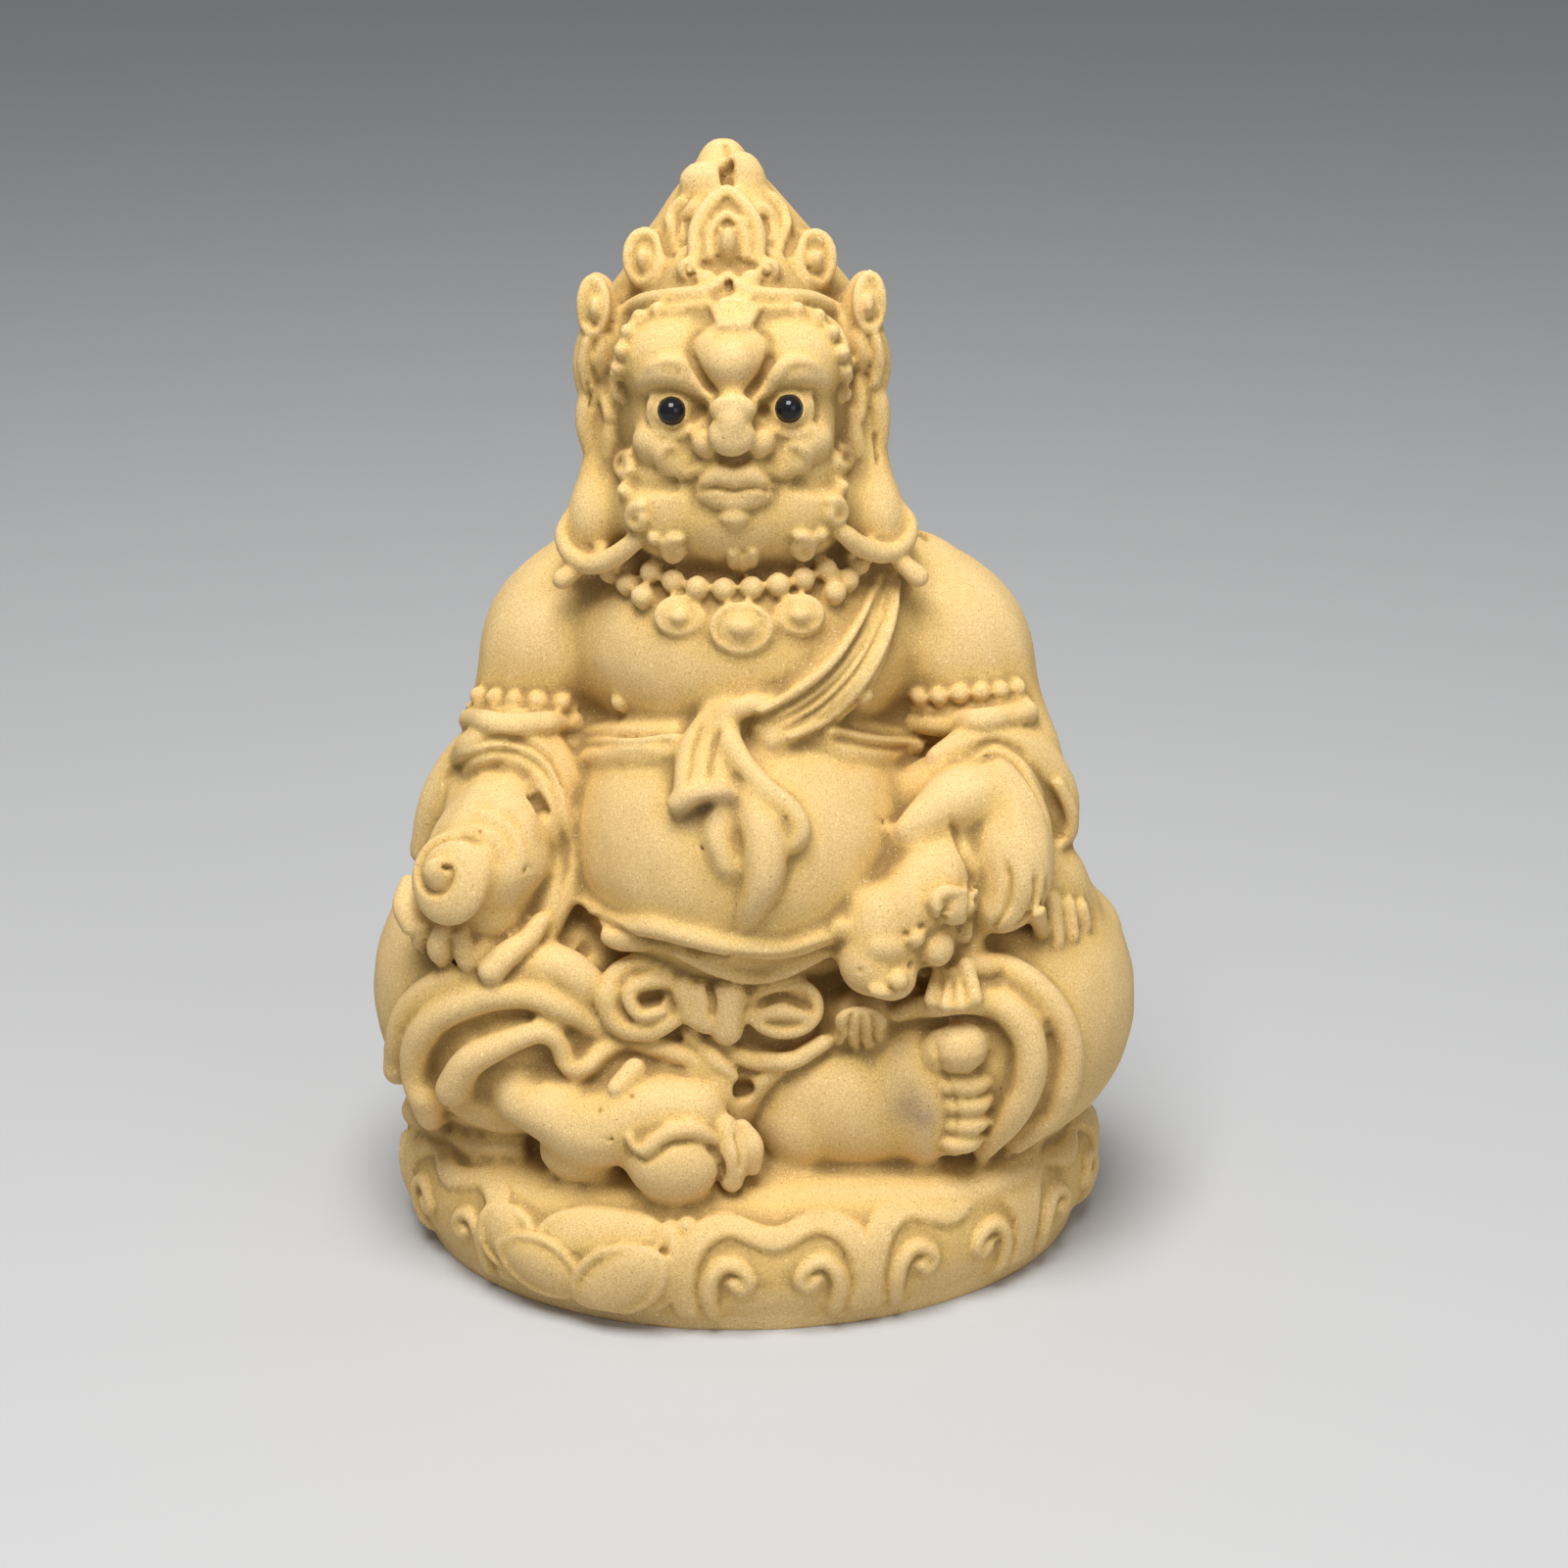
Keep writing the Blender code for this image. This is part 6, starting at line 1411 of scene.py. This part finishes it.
def cut_crown_lines(tool):
    tool.line([(-1.9, 88.8), (-1.9, 88.2), (-1.8, 87.4)], 0.7, -1.3, taper=False)
    for scroll, hand in (((-4.9, 80.0), 1.0), ((1.4, 80.0), -1.0)):
        tool.line(spiral(scroll, hand * 0.62, 0.62, 0.9, 1.4, 0.25), 0.32, -0.35)
    tool.line([(-1.9, 90.7), (-1.9, 89.6)], 0.4, -0.45)
    for strand in (
            [(-5.2, 86.2), (-6.4, 84.9), (-6.7, 83.0)], [(-4.3, 85.9), (-5.2, 84.5), (-5.5, 82.5)],
            [(1.5, 86.6), (2.7, 85.1), (3.3, 83.0)], [(0.7, 85.7), (1.7, 84.5), (2.0, 82.5)]):
        tool.line(strand, 0.7, 0.45)
    tool.line([(-1.7, 79.3), (-1.7, 78.4)], 0.4, -0.5)
    for hollow in ([(-7.2, 83.7), (-6.4, 81.2)], [(3.8, 83.8), (3.0, 81.2)]):
        tool.line(hollow, 0.7, -0.5)


def cut_cloth_lines(tool):
    # Long folds of the sash
    for share in (0.25, 0.5, 0.75):
        fold = [moved(a, (b[0] - a[0]) * share, (b[1] - a[1]) * share) for a, b in zip(*SASH_EDGES)]
        tool.line(fold, 0.5, -0.4)
    for fold in ([(-4.0, 43.0), (-4.8, 40.3), (-5.1, 38.0)], [(-2.5, 42.7), (-3.1, 40.4), (-3.3, 38.5)]):
        tool.line(fold, 0.5, -0.22)
    tool.lines([
        ([(-14.1, 41.4), (-10.1, 41.3), (-6.0, 41.6)], 0.6, -0.3),
        ([(6.5, 41.9), (10.0, 41.1), (13.7, 40.9)], 0.6, -0.3),
        ([(-13.0, 27.1), (-8.5, 25.1), (-2.0, 23.9), (2.8, 23.7), (6.8, 25.0)], 0.6, -0.35)])


def cut_hand_lines(tool):
    for groove in (
            [(21.0, 31.7), (21.4, 29.7), (21.0, 27.5), (19.8, 25.9)],
            [(23.4, 30.6), (23.5, 29.2), (23.0, 27.5), (21.8, 26.2)],
            [(24.4, 30.3), (24.3, 28.8), (23.6, 27.5)]):
        tool.line(groove, 0.45, -0.4)
    tool.line([(16.5, 35.1), (17.3, 32.9), (18.2, 30.4), (18.1, 26.7)], 0.6, -0.4)
    # Coil of the shell: in along its rim and round to the pit in its middle
    coil = [
        (-22.1, 33.0), (-23.2, 33.7), (-24.7, 33.7), (-26.3, 32.9), (-27.2, 31.2), (-26.9, 29.6),
        (-25.8, 29.0), (-24.9, 29.6), (-24.5, 30.8), (-25.0, 31.2)]
    tool.line(coil, 0.55, -0.5)
    tool.dab((-24.9, 31.1), 0.45, -0.6)
    # Soft folds of the sleeves
    for fold in (
            [(-25.2, 38.3), (-23.4, 39.8), (-21.6, 40.5), (-19.9, 40.6), (-18.1, 40.0), (-16.7, 38.8),
            (-15.9, 37.0), (-15.4, 34.4), (-15.1, 31.2), (-15.5, 28.0)],
            [(-23.1, 40.8), (-21.6, 41.6), (-19.7, 41.7), (-17.7, 41.0), (-16.0, 39.6), (-15.0, 37.6)],
            [(17.7, 40.5), (20.2, 41.4), (22.6, 40.3), (24.3, 37.8), (25.8, 34.6)],
            [(18.7, 39.8), (20.6, 40.4), (22.4, 39.1), (23.8, 36.8), (24.8, 34.0)]):
        tool.line(fold, 0.6, -0.35)
    tool.line([(-18.0, 37.4), (-17.3, 36.4), (-16.8, 35.4)], 0.7, -1.1)
    for wrinkle in (
            [(-23.2, 33.8), (-21.3, 33.0), (-20.4, 31.2)], [(-22.9, 35.2), (-20.4, 34.1), (-19.1, 31.7)],
            [(-22.1, 36.6), (-19.2, 34.9), (-17.9, 32.4)]):
        tool.line(wrinkle, 0.7, -0.18)


def cut_animal_lines(tool):
    tool.line([(16.3, 27.9), (15.7, 26.8)], 0.55, -0.5)
    for hollow in ((14.1, 26.3), (12.8, 25.7), (13.2, 23.1)):
        tool.dab(hollow, 0.45, -0.3)
    tool.dab((9.0, 22.7), 0.35, -0.3)
    tool.line([(11.2, 21.4), (12.0, 20.9), (12.9, 21.3)], 0.4, -0.25)
    tool.line([(14.1, 22.4), (13.9, 21.4)], 0.8, -0.5)
    for gap in ([(15.9, 21.9), (15.5, 20.0)], [(16.7, 21.9), (16.7, 19.7)], [(17.5, 21.9), (17.9, 19.9)]):
        tool.line(gap, 0.3, -0.15)
    for gap in (
            [(8.3, 19.4), (8.0, 17.9), (7.9, 16.5)], [(9.2, 19.4), (9.1, 17.7), (9.1, 16.1)],
            [(10.0, 19.4), (10.2, 17.9), (10.3, 16.6)]):
        tool.line(gap, 0.36, -0.4)


def cut_foot_lines(tool):
    tool.lines([
        ([(15.1, 17.1), (15.5, 15.1), (16.5, 13.1), (17.0, 10.8), (16.8, 8.4)], 0.45, -0.2),
        ([(-9.6, 7.8), (-8.6, 7.1), (-7.5, 7.5), (-6.5, 8.3), (-4.8, 8.6)], 0.5, -0.18),
        ([(-3.6, 8.4), (-2.6, 7.3), (-2.3, 6.0), (-3.0, 5.0)], 0.5, -0.4),
        ([(-1.2, 9.5), (-0.7, 7.9), (-0.7, 6.2)], 0.45, -0.45)])


def cut_flaws(tool):
    """The chip, the seam cracks and the pinholes of this very statuette."""
    tool.lines([
        ([(14.1, 59.2), (14.6, 58.0)], 0.55, -0.5),
        ([(10.2, 66.8), (10.4, 65.5), (10.6, 64.2)], 0.3, -0.5),
        ([(-13.3, 71.1), (-13.2, 70.0), (-13.0, 68.7)], 0.3, -0.45)])
    for hole in (
            (-22.2, 34.1), (-18.4, 30.9), (-11.4, 8.8), (-12.3, 11.3), (-9.7, 12.4), (-4.0, 32.7),
            (11.0, 34.9)):
        tool.dab(hole, 0.28, -0.5)


def cut_bow_lines(tool):
    tool.line([(-8.4, 20.3), (-7.5, 20.5)], 0.7, -0.9, taper=False)
    tool.line([(1.0, 20.0), (2.8, 20.5), (4.6, 19.8)], 0.5, -0.5)
    tool.line([(-3.5, 21.6), (-3.0, 20.2), (-3.2, 18.9)], 0.45, -0.35)


detailed = Skin(detailed_skin)
stained = [(detailed.on(spot), reach) for spot, reach in STAINS]
fine = Strokes(detailed)
for cut_lines in (cut_flaws, cut_bow_lines, cut_face_lines, cut_crown_lines, cut_cloth_lines,
        cut_hand_lines, cut_animal_lines, cut_foot_lines):
    cut_lines(fine)
fine.press()
print("pressed", len(fine.marks), "strokes")

# %% [markdown]
# The fused sculpture is far denser than it needs to be, so it is thinned where the surface is calm. Then
# the underside is cut level, and everything is scaled from modules to metres.

# %% Thinning and cutting level
FIGURE_TRIANGLES = 190000


def thinned(mesh, triangles):
    item = placed("thinning", mesh)
    mesh.calc_loop_triangles()
    thin = item.modifiers.new("thin", "DECIMATE")
    thin.ratio = min(1.0, triangles / len(mesh.loop_triangles))
    thin.use_collapse_triangulate = True
    return main_shell(taken(item))


def cut_flat(mesh):
    """A level underside: everything below it is cut away and the cut is closed."""
    shape = bmesh.new()
    shape.from_mesh(mesh)
    everything = shape.verts[:] + shape.edges[:] + shape.faces[:]
    bmesh.ops.bisect_plane(shape, geom=everything, dist=0.0001, plane_co=(0.0, 0.0, UNDERSIDE),
        plane_no=(0.0, 0.0, 1.0), clear_inner=True)
    rim = [edge for edge in shape.edges if edge.is_boundary]
    filled = bmesh.ops.contextual_create(shape, geom=rim)
    bmesh.ops.triangulate(shape, faces=filled["faces"])
    bmesh.ops.recalc_face_normals(shape, faces=shape.faces[:])
    shape.to_mesh(mesh)
    shape.free()


def to_metres(place):
    return Vector((place[0] * MODULE, place[1] * MODULE, (place[2] - UNDERSIDE) * MODULE))


def scale_to_metres(mesh):
    mesh.transform(Matrix.Scale(MODULE, 4) @ Matrix.Translation((0.0, 0.0, -UNDERSIDE)))


sculpture = thinned(detailed_skin, FIGURE_TRIANGLES)
cut_flat(sculpture)
scale_to_metres(sculpture)
figure_clay = placed("figure_clay", sculpture)
print("figure has", len(sculpture.polygons), "faces")

# %% [markdown]
# Each glass bead sits in a drilled hollow in the clay eyeball. The hollow is cut with a Boolean from a ball
# a little larger than the bead.

# %% Eye sockets and beads
SOCKET_EASE = 0.00006


def shade_smooth(mesh):
    for face in mesh.polygons:
        face.use_smooth = True


def ball_object(name, centre, diameter, cuts):
    mesh = bpy.data.meshes.new(name)
    shape = bmesh.new()
    place = Matrix.Translation(centre)
    bmesh.ops.create_icosphere(shape, subdivisions=cuts, radius=diameter / 2.0, matrix=place)
    shape.to_mesh(mesh)
    shape.free()
    shade_smooth(mesh)
    return placed(name, mesh)


def cut_socket(figure, node):
    cutter = ball_object(node + "_cutter", bead_centre(node), EYE_BEAD_DIAMETER + 2.0 * SOCKET_EASE, 4)
    cut = figure.modifiers.new("socket", "BOOLEAN")
    cut.operation = "DIFFERENCE"
    cut.solver = "EXACT"
    cut.object = cutter
    finished = evaluated_mesh(figure)
    figure.modifiers.remove(cut)
    figure.data = finished
    bpy.data.objects.remove(cutter, do_unlink=True)


for node in ("left_eye_bead", "right_eye_bead"):
    cut_socket(figure_clay, node)
print("after the sockets the figure has", len(figure_clay.data.polygons), "faces")

# %% [markdown]
# Clay shows its relief in its colour: raised edges are rubbed pale, and hollows are darkened with painted
# shade. The relief of each point is how far it stands out from the average of its neighbourhood.

# %% Relief attribute
RELIEF_ROUNDS = (6, 40)
RELIEF_REACH = (0.00012, 0.0007)
STAIN_STRENGTH = 0.85
STAINED_FROM = 0.1


def store(mesh, name, value):
    """Keeps one value for each point of the mesh, for the material to read."""
    kept = mesh.attributes.new(name, "FLOAT", "POINT")
    kept.data.foreach_set("value", value.astype(np.float32))


def smoothed_places(places, first, second, rounds):
    """The points after repeated averaging with their neighbours."""
    count = len(places)
    degree = np.bincount(first, minlength=count) + np.bincount(second, minlength=count)
    result = places.copy()
    for _ in range(rounds):
        total = np.zeros_like(result)
        for axis in range(3):
            total[:, axis] += np.bincount(first, weights=result[second, axis], minlength=count)
            total[:, axis] += np.bincount(second, weights=result[first, axis], minlength=count)
        result = total / np.maximum(degree, 1)[:, None]
    return result


def add_relief(mesh):
    places, normals = points_and_normals(mesh)
    ends = np.empty(len(mesh.edges) * 2, dtype=np.int64)
    mesh.edges.foreach_get("vertices", ends)
    value = np.zeros(len(places))
    for rounds, reach in zip(RELIEF_ROUNDS, RELIEF_REACH):
        calm = smoothed_places(places, ends[0::2], ends[1::2], rounds)
        stand = ((places - calm) * normals).sum(axis=1)
        value += np.clip(stand / reach, -1.0, 1.0) * 0.5
    value = np.clip(0.5 + 0.5 * value, 0.0, 1.0)
    store(mesh, "relief", value)
    return value


def add_stains(mesh, spots):
    """Where old grey stains lie: strongest in the middle of each, fading out to its reach."""
    places = points_and_normals(mesh)[0]
    value = np.zeros(len(places))
    for middle, reach in spots:
        away = np.linalg.norm(places - np.array(middle), axis=1) / reach
        value = np.maximum(value, STAIN_STRENGTH * np.exp(-away ** 2))
    store(mesh, "stain", value)
    return value


relief_values = add_relief(figure_clay.data)
stain_values = add_stains(figure_clay.data, [(to_metres(place), reach) for place, reach in stained])
print("stained points:", int((stain_values > STAINED_FROM).sum()))
figure_clay.data.materials.clear()
figure_clay.data.materials.append(buff_clay)
shade_smooth(figure_clay.data)
print("relief runs from", round(float(relief_values.min()), 2), "to", round(float(relief_values.max()), 2))

# %% [markdown]
# The eye beads are black glass. Polished glass this dark shows almost nothing but its highlights, so a low
# roughness does the work.

# %% Eye beads
GLASS_DARK = (0.004, 0.004, 0.006, 1.0)
GLASS_LIGHT = (0.012, 0.012, 0.016, 1.0)
GLASS_CLOUD_SCALE = 900.0
GLASS_ROUGHNESS = 0.06
GLASS_SPECULAR = 0.3


def bead_glass():
    material, tree, shader = new_material("black_bead_glass")
    place = tree.nodes.new("ShaderNodeTexCoord")
    cloud = tree.nodes.new("ShaderNodeTexNoise")
    cloud.inputs["Scale"].default_value = GLASS_CLOUD_SCALE
    tint = tree.nodes.new("ShaderNodeValToRGB")
    tint.color_ramp.elements[0].color = GLASS_DARK
    tint.color_ramp.elements[1].color = GLASS_LIGHT
    tree.links.new(place.outputs["Object"], cloud.inputs["Vector"])
    tree.links.new(cloud.outputs["Fac"], tint.inputs["Fac"])
    tree.links.new(tint.outputs["Color"], shader.inputs["Base Color"])
    shader.inputs["Roughness"].default_value = GLASS_ROUGHNESS
    shader.inputs["Specular IOR Level"].default_value = GLASS_SPECULAR
    return material


glass = bead_glass()
for side in ("left", "right"):
    node = side + "_eye_bead"
    bead = ball_object(side + "_eye_glass", bead_centre(node), EYE_BEAD_DIAMETER, 4)
    bead.data.materials.append(glass)
    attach(bead, "root")
    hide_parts(node)
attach(figure_clay, "root")
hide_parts("figure")
print("two beads of", EYE_BEAD_DIAMETER * 1000.0, "mm are in place")

# %% [markdown]
# The statuette stands on a plain pale floor in soft studio light: a large key lamp high up and a little in
# front, a weak fill on the right and an even pale surround.

# %% Floor, lights and surround
FLOOR_SIZE = 6.0
FLOOR_GREY = (0.46, 0.46, 0.46, 1.0)
FLOOR_ROUGHNESS = 0.9
LAMP_TARGET = (0.0, 0.0, 0.045)
# Each lamp: its name, its place, its size and its power
LAMPS = (("key_lamp", (-0.03, -0.17, 0.45), 0.24, 3.0), ("fill_lamp", (0.30, -0.36, 0.20), 0.30, 0.45))
SURROUND_COLOUR = (0.86, 0.88, 0.92, 1.0)
SURROUND_STRENGTH = 0.30


def studio_floor():
    mesh = bpy.data.meshes.new("studio_floor")
    shape = bmesh.new()
    bmesh.ops.create_grid(shape, x_segments=1, y_segments=1, size=FLOOR_SIZE / 2.0)
    shape.to_mesh(mesh)
    shape.free()
    floor = placed("studio_floor", mesh)
    paint, tree, shader = new_material("pale_floor")
    shader.inputs["Base Color"].default_value = FLOOR_GREY
    shader.inputs["Roughness"].default_value = FLOOR_ROUGHNESS
    floor.data.materials.append(paint)


def area_lamp(name, place, size, power):
    lamp = bpy.data.lights.new(name, "AREA")
    lamp.size = size
    lamp.energy = power
    item = placed(name, lamp)
    item.location = place
    item.rotation_euler = (Vector(LAMP_TARGET) - Vector(place)).to_track_quat("-Z", "Y").to_euler()


studio_floor()
for lamp_values in LAMPS:
    area_lamp(*lamp_values)
surround = bpy.data.worlds.new("surround")
surround.use_nodes = True
surround.node_tree.nodes["Background"].inputs["Color"].default_value = SURROUND_COLOUR
surround.node_tree.nodes["Background"].inputs["Strength"].default_value = SURROUND_STRENGTH
bpy.context.scene.world = surround
print("floor, two lamps and a pale surround are set")

# %% [markdown]
# The camera looks down the same sight line as the drawing board, with the view angle that makes the drawn
# board fill the picture.

# %% Camera
VIEW_ANGLE = math.radians(28.0)
SENSOR_WIDTH = 36.0
NEAREST_SEEN = 0.01
camera_data = bpy.data.cameras.new("camera")
camera_data.sensor_width = SENSOR_WIDTH
camera_data.lens = SENSOR_WIDTH / 2.0 / math.tan(VIEW_ANGLE / 2.0)
camera_data.clip_start = NEAREST_SEEN
camera = placed("camera", camera_data)
camera.location = to_metres(EYE_POINT)
camera.rotation_euler = (math.radians(90.0) - SIGHT_PITCH, 0.0, 0.0)
bpy.context.scene.camera = camera
bpy.context.scene.view_settings.view_transform = "Standard"
print("camera is", round(camera.location.length * 1000.0), "mm from the origin")
